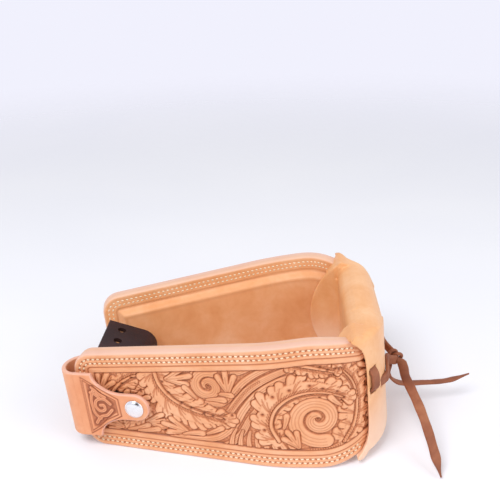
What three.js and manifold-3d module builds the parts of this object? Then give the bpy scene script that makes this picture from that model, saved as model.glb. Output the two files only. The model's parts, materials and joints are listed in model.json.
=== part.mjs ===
import * as THREE from "three";
import { mergeVertices } from "three/addons/utils/BufferGeometryUtils.js";
import Module from "manifold-3d";

// A western bell stirrup in tooled leather, lying on one edge as it would be laid on a table.
// It is drawn upright in its own frame: X from arm to arm with the near arm at +X, Y across the
// arms, Z up to the neck. One group at the end lays it down with the neck at -X and the tread at +X.
// All sizes are in millimetres.

// Whole stirrup
const HEIGHT = 200;
const NECK_WIDTH = 86;
const TREAD_WIDTH = 139;
const PLUMB_HEIGHT = 60;
const EASE_RADIUS = 135;
const CORNER_RADIUS = 47;

// Width of the arms across, from the neck down
const ARM_WIDTH_NECK = 68;
const ARM_WIDTH_WIDEST = 91;
const ARM_WIDTH_TREAD = 78;
const WIDEST_HEIGHT = 40;
const WIDEST_EASE = 14;
const NARROW_HEIGHT = 18;
const ARM_CORNER_RADIUS = 12;

// Leather and wood
const COVER_THICKNESS = 5;
const CORE_THICKNESS = 5;
const LINING_THICKNESS = 4.7;
const TREAD_LEATHER = 2.9;
const BORDER = 15;
const STEP_SLOPE = 4.5;
const EDGE_BEVEL = 1.2;
const GAP = 0.3;

// Tread
const BLOCK_TOP = 21;
const BLOCK_EDGE_RADIUS = 7;
const HEEL_HEIGHT = 13;
const HEEL_TURN = 11;
const COVE_RADIUS = 10;
const RIM_OUTER_MIDDLE = 15;
const RIM_EDGE = 25;
const RIM_INNER_MIDDLE = 46;
const TONGUE_POWER = 2;
const LIP_POWER = 6;
const PANEL_TUCK = 12;
const BLOCK_BELOW_RIM = 1.5;
const SEAM_WIDTH = 0.8;

// Bolt and roller
const BOLT_DROP = 27.5;
const BOLT_DIAMETER = 8;
const BOLT_HEAD_DIAMETER = 18;
const BOLT_HEAD_HEIGHT = 3.6;
const WASHER_DIAMETER = 16;
const WASHER_THICKNESS = 1.2;
const NUT_ACROSS_FLATS = 13;
const NUT_HEIGHT = 4;
const NUT_WELL_DIAMETER = 20;
const BOLT_END_BEYOND_NUT = 0.6;
const ROLLER_DIAMETER = 13;

// Wear leather that lines the neck
const WEAR_INNER_THICKNESS = 2.5;
const WEAR_OUTER_THICKNESS = 3;
const WEAR_LEG_LENGTH = 26;
const WEAR_FLARE_DEG = 22.7;
const WEAR_INNER_EXTRA = 1.6;
const WEAR_HOLE_DIAMETER = 6;
const WEAR_HOLE_FROM_END = 11;
const WEAR_HOLE_PITCH = 15;

// Snap strap
const STRAP_WIDTH = 47;
const STRAP_THICKNESS = 2.8;
const STRAP_FOOT_WIDTH = 28;
const STRAP_FOOT_BELOW_BOLT = 12;
const STRAP_BEND_DROP = 1.5;
const FLAP_REACH = 50;
const TONGUE_WIDTH = 19;
const SHOULDER_START = 14;
const SHOULDER_END = 33;
const SNAP_DIAMETER = 12.6;
const SNAP_CAP_HEIGHT = 2.4;
const SNAP_POST_DIAMETER = 3;
const SOCKET_DIAMETER = 11;
const SOCKET_HEIGHT = 2.2;
const STUD_BASE_DIAMETER = 10.4;
const STUD_BASE_THICKNESS = 0.6;
const STUD_SINK = 0.5;
const STUD_KNOB_DIAMETER = 5.4;
const STUD_KNOB_HEIGHT = 1.9;
const RIVET_FLANGE_DIAMETER = 10;
const RIVET_FLANGE_THICKNESS = 0.8;

// Saddle string
const STRING_WIDTH = 6.4;
const STRING_THICKNESS = 2.2;
const STITCH_REACH = 17;
const STITCH_ABOVE = 9;
const STITCH_ANGLE_DEG = 46;
const RUN_SLOT_ANGLE_DEG = 62;
const SLOT_CLEARANCE = 0.4;
const KNOT_OFFSET = 9;
const KNOT_DROP = 7;
const KNOT_X = 4;
const KNOT_RADIUS = 3.2;
const KNOT_TUBE = 1.3;

const COLOURS = {
  tooled: 0xd9a273,
  plain: 0xe6b384,
  wood: 0xb98a5a,
  dark: 0x3a2226,
  thong: 0x9a5a3a,
  steel: 0x8d8f92,
  chrome: 0xdcdfe3,
};

const wasm = await Module();
wasm.setup();

// Manifold solid of a closed three.js geometry. A mirrored geometry comes in inside out and is turned.
function solid(geometry) {
  const bare = new THREE.BufferGeometry();
  const source = geometry.index ? geometry.toNonIndexed() : geometry;
  bare.setAttribute("position", source.getAttribute("position").clone());
  const merged = mergeVertices(bare, 1e-4);
  const triVerts = new Uint32Array(merged.index.array);
  const vertProperties = merged.getAttribute("position").array;
  const made = new wasm.Manifold(new wasm.Mesh({ numProp: 3, vertProperties, triVerts }));
  if (made.volume() > 0) return made;
  for (let i = 0; i < triVerts.length; i += 3) {
    [triVerts[i + 1], triVerts[i + 2]] = [triVerts[i + 2], triVerts[i + 1]];
  }
  return new wasm.Manifold(new wasm.Mesh({ numProp: 3, vertProperties, triVerts }));
}

function geometryOf(manifold) {
  const mesh = manifold.getMesh();
  const geometry = new THREE.BufferGeometry();
  geometry.setAttribute("position", new THREE.BufferAttribute(mesh.vertProperties, 3));
  geometry.setIndex(new THREE.BufferAttribute(mesh.triVerts, 1));
  const flat = geometry.toNonIndexed();
  flat.computeVertexNormals();
  return flat;
}

const stirrup = new THREE.Group();

function add(name, manifold, colour, roughness, metalness = 0) {
  const material = new THREE.MeshStandardMaterial({ color: colour, roughness, metalness });
  const mesh = new THREE.Mesh(geometryOf(manifold), material);
  mesh.name = name;
  stirrup.add(mesh);
}

// A closed skin over rings of equal length, with flat ends.
function loft(rings, flatRing) {
  const count = rings[0].length;
  const positions = [];
  const push = (...points) => points.forEach((p) => positions.push(p.x, p.y, p.z));
  for (let i = 0; i + 1 < rings.length; i++) {
    for (let j = 0; j < count; j++) {
      const k = (j + 1) % count;
      push(rings[i][j], rings[i + 1][j], rings[i + 1][k]);
      push(rings[i][j], rings[i + 1][k], rings[i][k]);
    }
  }
  const last = rings.length - 1;
  for (const [ring, outline, back] of [[rings[0], flatRing(0), false], [rings[last], flatRing(last), true]]) {
    const faces = THREE.ShapeUtils.triangulateShape(outline, []);
    const clockwise = THREE.ShapeUtils.isClockWise(outline);
    for (const [a, b, c] of faces) {
      if (back !== clockwise) push(ring[a], ring[c], ring[b]);
      else push(ring[a], ring[b], ring[c]);
    }
  }
  const geometry = new THREE.BufferGeometry();
  geometry.setAttribute("position", new THREE.Float32BufferAttribute(positions, 3));
  return solid(geometry);
}

function prism(outline, depth, turn) {
  const shape = new THREE.Shape(outline.map(([a, b]) => new THREE.Vector2(a, b)));
  const geometry = new THREE.ExtrudeGeometry(shape, { depth, bevelEnabled: false, steps: 1 });
  geometry.translate(0, 0, -depth / 2);
  geometry.applyMatrix4(turn);
  return solid(geometry);
}

const basis = (x, y, z) => new THREE.Matrix4().makeBasis(x, y, z);
const AX = new THREE.Vector3(1, 0, 0);
const AY = new THREE.Vector3(0, 1, 0);
const AZ = new THREE.Vector3(0, 0, 1);
const ACROSS_Y = basis(AX, AZ, AY.clone().negate());
const ACROSS_X = basis(AY, AZ, AX);

function arc(cx, cy, radius, from, to, steps) {
  const points = [];
  for (let i = 0; i <= steps; i++) {
    const angle = from + ((to - from) * i) / steps;
    points.push([cx + radius * Math.cos(angle), cy + radius * Math.sin(angle)]);
  }
  return points;
}

// Face profile of one arm, in X and Z, from the top of the neck round the corner to the middle of
// the tread: a straight flare, an easing arc, a plumb stretch, the corner and the underside.
const treadHalf = TREAD_WIDTH / 2;
const faceBase = TREAD_LEATHER + GAP - COVER_THICKNESS - GAP;
const cornerTop = faceBase + CORNER_RADIUS;
let flare = 0.15;
for (let i = 0; i < 20; i++) {
  const endX = treadHalf - EASE_RADIUS * (1 - Math.cos(flare));
  const endZ = PLUMB_HEIGHT + EASE_RADIUS * Math.sin(flare);
  flare = Math.atan2(endX - NECK_WIDTH / 2, HEIGHT - endZ);
}
const easeX = treadHalf - EASE_RADIUS * (1 - Math.cos(flare));
const easeZ = PLUMB_HEIGHT + EASE_RADIUS * Math.sin(flare);
const flareLength = Math.hypot(easeX - NECK_WIDTH / 2, HEIGHT - easeZ);
const easeLength = EASE_RADIUS * flare;
const plumbLength = PLUMB_HEIGHT - cornerTop;
const cornerLength = (CORNER_RADIUS * Math.PI) / 2;
const underLength = treadHalf - CORNER_RADIUS;
const cornerStart = flareLength + easeLength + plumbLength;
const halfLength = cornerStart + cornerLength + underLength;

function profileAt(distance) {
  let s = distance;
  if (s <= flareLength) {
    const x = NECK_WIDTH / 2 + s * Math.sin(flare);
    return { x, z: HEIGHT - s * Math.cos(flare), nx: Math.cos(flare), nz: Math.sin(flare) };
  }
  s -= flareLength;
  if (s <= easeLength) {
    const angle = flare - s / EASE_RADIUS;
    const x = treadHalf - EASE_RADIUS * (1 - Math.cos(angle));
    return { x, z: PLUMB_HEIGHT + EASE_RADIUS * Math.sin(angle), nx: Math.cos(angle), nz: Math.sin(angle) };
  }
  s -= easeLength;
  if (s <= plumbLength) return { x: treadHalf, z: PLUMB_HEIGHT - s, nx: 1, nz: 0 };
  s -= plumbLength;
  if (s <= cornerLength) {
    const angle = s / CORNER_RADIUS;
    const x = treadHalf - CORNER_RADIUS * (1 - Math.cos(angle));
    return { x, z: cornerTop - CORNER_RADIUS * Math.sin(angle), nx: Math.cos(angle), nz: -Math.sin(angle) };
  }
  s -= cornerLength;
  return { x: treadHalf - CORNER_RADIUS - s, z: faceBase, nx: 0, nz: -1 };
}

// A point at distance s down the arm, y across it and n out from its tooled face.
function onArm(side, s, y, n) {
  const p = s <= halfLength ? profileAt(s) : profileAt(2 * halfLength - s);
  const flip = s <= halfLength ? 1 : -1;
  return new THREE.Vector3(side * flip * (p.x + n * p.nx), y, p.z + n * p.nz);
}

// Half the width of the arm's face at height z: straight edges that ease in towards the tread.
const edgeSlope = (ARM_WIDTH_WIDEST - ARM_WIDTH_NECK) / 2 / (HEIGHT - WIDEST_HEIGHT);
const straightEdge = (z) => ARM_WIDTH_NECK / 2 + edgeSlope * (HEIGHT - z);
const easeHeight = WIDEST_HEIGHT + WIDEST_EASE;
const easeIn = (straightEdge(NARROW_HEIGHT) - ARM_WIDTH_TREAD / 2) / (easeHeight - NARROW_HEIGHT) ** 2;

function halfWidth(height) {
  const z = Math.max(height, NARROW_HEIGHT);
  return straightEdge(z) - easeIn * Math.max(0, easeHeight - z) ** 2;
}

// The same with the rounded corners at the top end, for a piece inset from the face's edge.
function halfWidthAt(s, inset) {
  const p = s <= halfLength ? profileAt(s) : profileAt(2 * halfLength - s);
  const full = halfWidth(Math.max(p.z, 0)) - inset;
  const radius = Math.max(ARM_CORNER_RADIUS - inset, 4);
  const d = Math.min(s, 2 * halfLength - s) - inset;
  if (d >= radius) return full;
  const t = radius - Math.max(d, 0);
  return full - radius + Math.sqrt(Math.max(radius * radius - t * t, 0));
}

function stations(from, to) {
  const marks = [flareLength, flareLength + easeLength, cornerStart, cornerStart + cornerLength];
  marks.push(...marks.map((m) => 2 * halfLength - m));
  const list = new Set([from, to]);
  for (const d of [0.6, 2, 4, 6.5, 9.5, 12]) {
    list.add(from + d);
    if (to > halfLength) list.add(to - d);
  }
  for (let s = from + 12; s < to; s += 14) list.add(s);
  for (const m of marks) if (m > from && m < to) list.add(m);
  for (let i = 1; i < 8; i++) {
    for (const m of [cornerStart, 2 * halfLength - cornerStart - cornerLength]) {
      const s = m + (cornerLength * i) / 8;
      if (s > from && s < to) list.add(s);
    }
  }
  const sorted = [...list].filter((s) => s >= from && s <= to).sort((a, b) => a - b);
  return sorted.filter((s, i) => i === 0 || i === sorted.length - 1 || s - sorted[i - 1] > 0.35);
}

// A layer of an arm: a section in y and n carried down the profile.
function layer(side, from, to, section) {
  const list = stations(from, to);
  const rings = list.map((s) => section(s).map(([y, n]) => onArm(side, s, y, n)));
  return loft(rings, (i) => section(list[i]).map(([y, n]) => new THREE.Vector2(y, n)));
}

function slab(half, top, bottom, bevelTop = 0, bevelBottom = 0) {
  return [
    [half - bevelTop, top],
    [half, top - bevelTop],
    [half, bottom + bevelBottom],
    [half - bevelBottom, bottom],
    [-half + bevelBottom, bottom],
    [-half, bottom + bevelBottom],
    [-half, top - bevelTop],
    [-half + bevelTop, top],
  ];
}

// Depths below the tooled face of the layers' two sides.
const coreTop = -(COVER_THICKNESS + GAP);
const coreBottom = coreTop - CORE_THICKNESS;
const borderBottom = coreTop - LINING_THICKNESS;
const bulgeBottom = coreBottom - GAP - LINING_THICKNESS;

// Round the corner a cover is skived, so that the tread leather over it keeps its thickness.
const leatherOut = GAP + TREAD_LEATHER;
function skived(s) {
  const angle = Math.min(Math.max(s - cornerStart, 0), cornerLength) / CORNER_RADIUS;
  return (leatherOut - faceBase) * Math.sin(angle) ** 2;
}

const panelEnd = cornerStart + CORNER_RADIUS * Math.asin((cornerTop - RIM_OUTER_MIDDLE + PANEL_TUCK) / CORNER_RADIUS);
const liningEnd = cornerStart + Math.max(0, cornerTop - (RIM_EDGE - PANEL_TUCK));

const boltHeight = HEIGHT - BOLT_DROP;
const boltFace = NECK_WIDTH / 2 + BOLT_DROP * Math.tan(flare);
const slantX = (n) => boltFace + n / Math.cos(flare);

function rod(diameter, fromX, toX, sides = 32) {
  const geometry = new THREE.CylinderGeometry(diameter / 2, diameter / 2, Math.abs(toX - fromX), sides);
  geometry.rotateZ(Math.PI / 2);
  geometry.translate((fromX + toX) / 2, 0, boltHeight);
  return solid(geometry);
}

// Seats of the nut and of the bolt head, sunk into the wood at right angles to the bolt.
const seatX = slantX(coreTop) - 3.1;
const washerIn = seatX + GAP;
const washerOut = washerIn + WASHER_THICKNESS;
const nutOut = washerOut + GAP + NUT_HEIGHT;
const boltEnd = nutOut + BOLT_END_BEYOND_NUT;
const boltHole = BOLT_DIAMETER + 2 * GAP;
const wellTool = rod(NUT_WELL_DIAMETER, seatX, slantX(0) + 15);
const headWell = rod(BOLT_HEAD_DIAMETER + 2 * GAP, -seatX, -(washerOut + 2 * GAP + BOLT_HEAD_HEIGHT));
const boltTool = rod(boltHole, -slantX(0) + 8, slantX(0) + 15);

// Snap strap: it lies on the near lining, rises past the end of the arm and comes down outside.
const strapInnerOut = bulgeBottom - GAP;
const strapInnerIn = strapInnerOut - STRAP_THICKNESS;
const flapInner = STUD_BASE_THICKNESS - STUD_SINK + GAP + SOCKET_HEIGHT + GAP;
const flapOuter = flapInner + STRAP_THICKNESS;
const bendMiddle = (strapInnerIn + flapOuter) / 2;
const bendOuter = (flapOuter - strapInnerIn) / 2;
const bendInner = bendOuter - STRAP_THICKNESS;
const snapReach = FLAP_REACH - TONGUE_WIDTH / 2;

// Directions of the near arm's straight part: along it, and out of its face.
const down = new THREE.Vector3(Math.sin(flare), 0, -Math.cos(flare));
const out = new THREE.Vector3(Math.cos(flare), 0, Math.sin(flare));
const neckEdge = new THREE.Vector3(NECK_WIDTH / 2, 0, HEIGHT);
const armPoint = (s, y, n) => neckEdge.clone().addScaledVector(down, s).addScaledVector(out, n).setY(y);

// A round piece on the snap's axis, given as radius and n pairs.
function snapPiece(pairs) {
  const points = pairs.map(([radius, n]) => new THREE.Vector2(radius, n));
  points.push(points[0].clone());
  const geometry = new THREE.LatheGeometry(points, 28);
  const turn = basis(down, out, AY.clone());
  turn.setPosition(armPoint(snapReach, 0, 0));
  geometry.applyMatrix4(turn);
  return solid(geometry);
}

const rivetTop = STUD_BASE_THICKNESS - STUD_SINK + STUD_KNOB_HEIGHT - 0.3;
const rivetRadius = SNAP_POST_DIAMETER / 2;
const rivetFlangeTop = -COVER_THICKNESS - GAP;
const rivetFlangeBottom = rivetFlangeTop - RIVET_FLANGE_THICKNESS;
const studBaseBottom = -STUD_SINK;
const studBaseTop = studBaseBottom + STUD_BASE_THICKNESS;
const studBore = rivetRadius + GAP;
const rivetWell = snapPiece([
  [0, rivetFlangeBottom - GAP],
  [RIVET_FLANGE_DIAMETER / 2 + GAP, rivetFlangeBottom - GAP],
  [RIVET_FLANGE_DIAMETER / 2 + GAP, rivetFlangeTop + GAP],
  [0, rivetFlangeTop + GAP],
]);
const rivetHole = snapPiece([
  [0, -COVER_THICKNESS - 1],
  [studBore, -COVER_THICKNESS - 1],
  [studBore, studBaseBottom - GAP],
  [STUD_BASE_DIAMETER / 2 + GAP, studBaseBottom - GAP],
  [STUD_BASE_DIAMETER / 2 + GAP, 1],
  [0, 1],
]);

// Wooden core: one strip bent to a U, with a rounded end inside the leather at the top of each arm.
const coreSection = (grow) => (s) => {
  const half = halfWidthAt(s, BORDER) + grow;
  return slab(half, coreTop + grow, coreBottom - grow, grow ? 0 : 1, grow ? 0 : 1);
};
const core = layer(1, BORDER, 2 * halfLength - BORDER, coreSection(0));
const coreTool = layer(1, BORDER - GAP, 2 * halfLength - BORDER + GAP, coreSection(GAP));

// Leather covers and linings. The lining bulges over the core and steps down to a flat border.
function bulgeAt(s) {
  return THREE.MathUtils.smoothstep(s, BORDER - STEP_SLOPE - 1.5, BORDER - 1);
}

const liningSection = (grow) => (s) => {
  const half = halfWidthAt(s, 0) + grow;
  const crest = Math.max(halfWidthAt(s + 1, BORDER) + 1.5, 3) + grow;
  const foot = crest + STEP_SLOPE;
  const low = borderBottom + (bulgeBottom - borderBottom) * bulgeAt(s) - grow;
  const rim = borderBottom - grow;
  const safeFoot = Math.min(foot, half - EDGE_BEVEL - 0.5);
  const safeCrest = Math.min(crest, safeFoot - 0.5);
  return [
    [half, coreTop + grow],
    [half, rim + EDGE_BEVEL],
    [half - EDGE_BEVEL, rim],
    [safeFoot, rim],
    [safeCrest, low],
    [-safeCrest, low],
    [-safeFoot, rim],
    [-half + EDGE_BEVEL, rim],
    [-half, rim + EDGE_BEVEL],
    [-half, coreTop + grow],
  ];
};

const panelSection = (s) => {
  const left = COVER_THICKNESS - skived(s);
  return slab(halfWidthAt(s, 0), -skived(s), -COVER_THICKNESS, Math.min(EDGE_BEVEL, left / 2), 0);
};

// A flat tape along a curve, with its width kept to one direction and its corners eased.
function tapeAlong(points, widthDirection, width, thickness) {
  const curve = new THREE.CatmullRomCurve3(points, false, "centripetal");
  const steps = Math.max(10, Math.round(curve.getLength() / 2.6));
  const rings = [];
  const outline = [];
  for (let i = 0; i <= steps; i++) {
    const p = curve.getPointAt(i / steps);
    const t = curve.getTangentAt(i / steps);
    const side = widthDirection.clone().addScaledVector(t, -widthDirection.dot(t)).normalize();
    const face = new THREE.Vector3().crossVectors(t, side);
    const w = width / 2;
    const h = thickness / 2;
    const b = Math.min(0.5, h * 0.45);
    const flat = [[w - b, h], [w, h - b], [w, -h + b], [w - b, -h], [-w + b, -h], [-w, -h + b], [-w, h - b], [-w + b, h]];
    outline.push(flat.map(([a, c]) => new THREE.Vector2(a, c)));
    rings.push(flat.map(([a, c]) => p.clone().addScaledVector(side, a).addScaledVector(face, c)));
  }
  return loft(rings, (i) => outline[i]);
}

const deg = THREE.MathUtils.degToRad;
const cornerX = treadHalf - CORNER_RADIUS;

// A point by the corner of the tread: angle from plumb to under, height above the leather's surface.
function overCorner(side, angle, y, lift) {
  const radius = CORNER_RADIUS + leatherOut * Math.cos(angle) ** 2 + faceBase * Math.sin(angle) ** 2 + lift;
  return new THREE.Vector3(side * (cornerX + radius * Math.cos(angle)), y, cornerTop - radius * Math.sin(angle));
}

const proud = STRING_THICKNESS / 2 + GAP;
const knotHalf = KNOT_RADIUS * 0.5 + KNOT_TUBE;
const knotReach = KNOT_RADIUS * 1.5 + KNOT_TUBE;

function stitchPoints(side) {
  const angle = deg(STITCH_ANGLE_DEG);
  const half = STITCH_REACH / 2;
  const steps = [[-half - 0.2, 0.6 - TREAD_LEATHER], [-half + 1.2, -0.6], [-half + 3.6, proud]];
  const back = steps.map(([y, lift]) => [-y, lift]).reverse();
  return [...steps, [0, proud + 0.5], ...back].map(([y, lift]) => overCorner(side, angle, y + STITCH_ABOVE, lift));
}

// The stitch lies flat on the corner, its width along the slope there.
function stitchWidth(side) {
  const angle = deg(STITCH_ANGLE_DEG);
  return new THREE.Vector3(side * Math.sin(angle), 0, Math.cos(angle));
}

function runPoints(side) {
  const angle = deg(RUN_SLOT_ANGLE_DEG);
  return [
    overCorner(side, angle - 0.09, 0, 0.6 - TREAD_LEATHER),
    overCorner(side, angle + 0.02, 0, -0.5),
    overCorner(side, angle + 0.16, 0, proud + 0.2),
    new THREE.Vector3(side * (cornerX - 6), 0, -proud - 0.9),
    new THREE.Vector3((side * cornerX + KNOT_X) / 2, -KNOT_DROP / 2, -proud - 2.4),
    new THREE.Vector3(KNOT_X + side * (knotHalf + (side > 0 ? 5 : 3) * GAP), -KNOT_DROP, -KNOT_OFFSET),
  ];
}

// The saddle string's laced lengths, or with an extra the tools that cut its slots.
function stringPieces(extra) {
  const width = STRING_WIDTH + 2 * extra;
  const thickness = STRING_THICKNESS + 2 * extra;
  const longer = (points) => {
    if (!extra) return points;
    const [a, b] = points;
    return [a.clone().addScaledVector(a.clone().sub(b).normalize(), 2 * extra), ...points];
  };
  const bothEnds = (points) => longer(longer(points).reverse());
  return [
    tapeAlong(bothEnds(stitchPoints(1)), stitchWidth(1), width, thickness),
    tapeAlong(bothEnds(stitchPoints(-1)), stitchWidth(-1), width, thickness),
    tapeAlong(longer(runPoints(1)), AY, width, thickness),
    tapeAlong(longer(runPoints(-1)), AY, width, thickness),
  ];
}

const [stitchNear, stitchFar, runNear, runFar] = stringPieces(0);
const slotTool = stringPieces(SLOT_CLEARANCE).reduce((joined, piece) => joined.add(piece));

// Shapes that bound the tread: its profile in X and Z, and its section in Y and Z. Inside, the
// leather follows the linings round their bend, and a cove runs from there to the flat under the foot.
const bendRadius = CORNER_RADIUS + bulgeBottom;
const coveZ = BLOCK_TOP + COVE_RADIUS;
const coveAngle = Math.asin((cornerTop - coveZ) / (bendRadius - COVE_RADIUS));
const coveX = cornerX + (bendRadius - COVE_RADIUS) * Math.cos(coveAngle);
const tongueFace = cornerX + (bendRadius - leatherOut) * Math.cos(coveAngle);

function treadProfile(grow) {
  const cove = arc(coveX, coveZ, COVE_RADIUS - grow, -Math.PI / 2, -coveAngle, 6);
  const bend = arc(cornerX, cornerTop, bendRadius - grow, -coveAngle, 0, 6).slice(1);
  const top = RIM_INNER_MIDDLE + 10;
  const corner = [];
  for (let i = 0; i <= 12; i++) {
    const p = overCorner(1, (Math.PI / 2) * (i / 12), 0, grow - leatherOut);
    corner.push([p.x, p.z]);
  }
  const right = [...cove, ...bend, [cornerX + bendRadius - grow, top], [corner[0][0], top], ...corner];
  return [...right, ...right.map(([x, z]) => [-x, z]).reverse()];
}

function heelOf(half, grow) {
  const bottom = leatherOut - grow;
  const points = [[half, HEEL_HEIGHT]];
  for (let i = 1; i <= 5; i++) {
    const t = (i / 5) * (Math.PI / 2);
    const y = half - HEEL_TURN * (1 - Math.cos(t));
    points.push([y, HEEL_HEIGHT - (HEEL_HEIGHT - bottom) * Math.sin(t)]);
  }
  return points;
}

const mirrored = (right) => [...right, ...right.map(([y, z]) => [-y, z]).reverse()];

// Between the arms the long edges are rounded under the foot; beside the arms they go straight up.
function middleSection(grow) {
  const half = halfWidth(0) + grow;
  const r = BLOCK_EDGE_RADIUS + grow;
  const edge = arc(half - r, BLOCK_TOP + grow - r, r, Math.PI / 2, 0, 6);
  return mirrored([[half - r, RIM_INNER_MIDDLE + 10], ...edge, ...heelOf(half, grow)]);
}

function endSection(grow) {
  const sides = [];
  for (let z = RIM_INNER_MIDDLE + 10; z > HEEL_HEIGHT + 1; z -= 5) sides.push([halfWidth(z) + grow, z]);
  return mirrored([...sides, ...heelOf(halfWidth(0) + grow, grow)]);
}

function treadSolid(grow) {
  const wide = 2 * HEIGHT;
  const middle = prism(middleSection(grow), 2 * tongueFace, ACROSS_X);
  const ends = prism(endSection(grow), wide, ACROSS_X);
  const between = prism(
    [[-tongueFace, -HEIGHT], [tongueFace, -HEIGHT], [tongueFace, HEIGHT], [-tongueFace, HEIGHT]],
    2 * ARM_WIDTH_WIDEST,
    ACROSS_Y
  );
  const profile = prism(treadProfile(grow), 2 * ARM_WIDTH_WIDEST, ACROSS_Y);
  return profile.intersect(middle.add(ends.subtract(between)));
}

// The layers that cut the tread need only the lower part of each arm.
const toolStart = cornerStart / 3;
const panelTool = [1, -1].map((side) =>
  layer(side, toolStart, panelEnd + GAP, (s) => slab(halfWidthAt(s, 0) + GAP, GAP - skived(s), -COVER_THICKNESS - GAP - 0.01))
);
const liningTool = [1, -1].map((side) => layer(side, toolStart, liningEnd + GAP, liningSection(GAP)));
const insides = [...panelTool, ...liningTool, coreTool].reduce((joined, piece) => joined.add(piece));

// The tread block is one bar of wood grooved for the core, with coves rising to the linings.
const blockLid = prism(
  [[-HEIGHT, BLOCK_TOP + COVE_RADIUS], [HEIGHT, BLOCK_TOP + COVE_RADIUS], [HEIGHT, HEIGHT], [-HEIGHT, HEIGHT]],
  HEIGHT,
  ACROSS_Y
);

// Rims of the tread leather: a tongue up the inside of each arm and a lip down its outside.
function rimTool(middle, power, drop = 0) {
  const reach = halfWidth(NARROW_HEIGHT) + leatherOut;
  const curve = [];
  for (let i = 0; i <= 20; i++) {
    const t = -1 + i / 10;
    curve.push([t * reach, RIM_EDGE + (middle - RIM_EDGE) * (1 - Math.abs(t) ** power)]);
  }
  const outline = [[-HEIGHT, RIM_EDGE], ...curve, [HEIGHT, RIM_EDGE], [HEIGHT, HEIGHT], [-HEIGHT, HEIGHT]];
  return prism(outline, 2 * HEIGHT, ACROSS_X.clone().setPosition(0, 0, -drop));
}

// What lies inside the wooden core's outer face, where the tongues are; the lips lie outside it.
const splitLine = [[treadHalf - COVER_THICKNESS, HEIGHT]];
for (let i = 0; i <= 12; i++) {
  const p = overCorner(1, (Math.PI / 2) * (i / 12), 0, -leatherOut - COVER_THICKNESS);
  splitLine.push([p.x, p.z]);
}
const inside = prism([...splitLine, ...splitLine.map(([x, z]) => [-x, z]).reverse()], HEIGHT, ACROSS_Y);
const block = treadSolid(0)
  .subtract(insides)
  .subtract(blockLid)
  .subtract(rimTool(RIM_INNER_MIDDLE, TONGUE_POWER, BLOCK_BELOW_RIM))
  .subtract(slotTool);
const innerRim = rimTool(RIM_INNER_MIDDLE, TONGUE_POWER);
const outerRim = rimTool(RIM_OUTER_MIDDLE, LIP_POWER).subtract(inside);
const seam = prism(
  [[-SEAM_WIDTH / 2, -1], [SEAM_WIDTH / 2, -1], [SEAM_WIDTH / 2, leatherOut + 0.1], [-SEAM_WIDTH / 2, leatherOut + 0.1]],
  2 * cornerX,
  ACROSS_X
);
const treadLeather = treadSolid(leatherOut)
  .subtract(treadSolid(GAP))
  .subtract(insides)
  .subtract(innerRim)
  .subtract(outerRim)
  .subtract(slotTool)
  .subtract(seam);

// Core, covers and linings with their wells and holes.
const woodCore = core.subtract(wellTool).subtract(headWell).subtract(boltTool).subtract(rivetWell).subtract(slotTool);
const nearCover = layer(1, 0, panelEnd, panelSection).subtract(wellTool).subtract(rivetHole).subtract(slotTool);
const farCover = layer(-1, 0, panelEnd, panelSection).subtract(headWell).subtract(slotTool);
const nearLining = layer(1, 0, liningEnd, liningSection(0)).subtract(coreTool).subtract(boltTool);
const farLining = layer(-1, 0, liningEnd, liningSection(0)).subtract(coreTool).subtract(boltTool);

add("frame_core", woodCore, COLOURS.wood, 0.7);
add("tread_block", block, COLOURS.wood, 0.7);
add("near_cover", nearCover, COLOURS.tooled, 0.55);
add("far_cover", farCover, COLOURS.tooled, 0.55);
add("near_lining", nearLining, COLOURS.plain, 0.5);
add("far_lining", farLining, COLOURS.plain, 0.5);
add("tread_leather", treadLeather, COLOURS.plain, 0.45);
add("string_stitch_near", stitchNear, COLOURS.thong, 0.7);
add("string_stitch_far", stitchFar, COLOURS.thong, 0.7);
add("string_run_near", runNear, COLOURS.thong, 0.7);
add("string_run_far", runFar, COLOURS.thong, 0.7);

// Bolt with a low round head in the far arm, its washer and nut in the near arm, and the roller.
function boltProfile() {
  const r = BOLT_HEAD_DIAMETER / 2;
  const base = washerOut + GAP;
  const dome = [];
  for (let i = 0; i <= 6; i++) {
    const t = (i / 6) * (Math.PI / 2);
    dome.push(new THREE.Vector2(r * Math.cos(t), -(base + 1.2 + (BOLT_HEAD_HEIGHT - 1.2) * Math.sin(t))));
  }
  dome[6].x = 0;
  const shank = BOLT_DIAMETER / 2;
  return [new THREE.Vector2(0, boltEnd), new THREE.Vector2(shank - 0.6, boltEnd),
    new THREE.Vector2(shank, boltEnd - 0.6), new THREE.Vector2(shank, -base), new THREE.Vector2(r, -base), ...dome];
}

function turned(points, sides = 32) {
  const geometry = new THREE.LatheGeometry(points, sides);
  geometry.rotateZ(-Math.PI / 2);
  geometry.translate(0, 0, boltHeight);
  return solid(geometry);
}

const bolt = turned(boltProfile());
const washerPiece = (from, to) => rod(WASHER_DIAMETER, from, to).subtract(rod(boltHole, from - 1, to + 1));
const nut = rod(NUT_ACROSS_FLATS / Math.cos(Math.PI / 6), washerOut + GAP, nutOut, 6);
add("stirrup_bolt", bolt, COLOURS.steel, 0.4, 0.9);
add("head_washer", washerPiece(-washerOut, -washerIn), COLOURS.steel, 0.4, 0.9);
add("nut_washer", washerPiece(washerIn, washerOut), COLOURS.steel, 0.4, 0.9);
add("bolt_nut", nut.subtract(rod(boltHole, washerOut, nutOut + 1)), COLOURS.steel, 0.4, 0.9);

const rollerTop = ROLLER_DIAMETER / 2;
const rollerLean = rollerTop * Math.tan(flare) + GAP;
const rollerNear = slantX(strapInnerIn) - rollerLean;
const rollerFar = -(slantX(bulgeBottom) - rollerLean);
add("roller", rod(ROLLER_DIAMETER, rollerFar, rollerNear).subtract(rod(boltHole, rollerFar - 1, rollerNear + 1)),
  COLOURS.steel, 0.45, 0.85);

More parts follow.
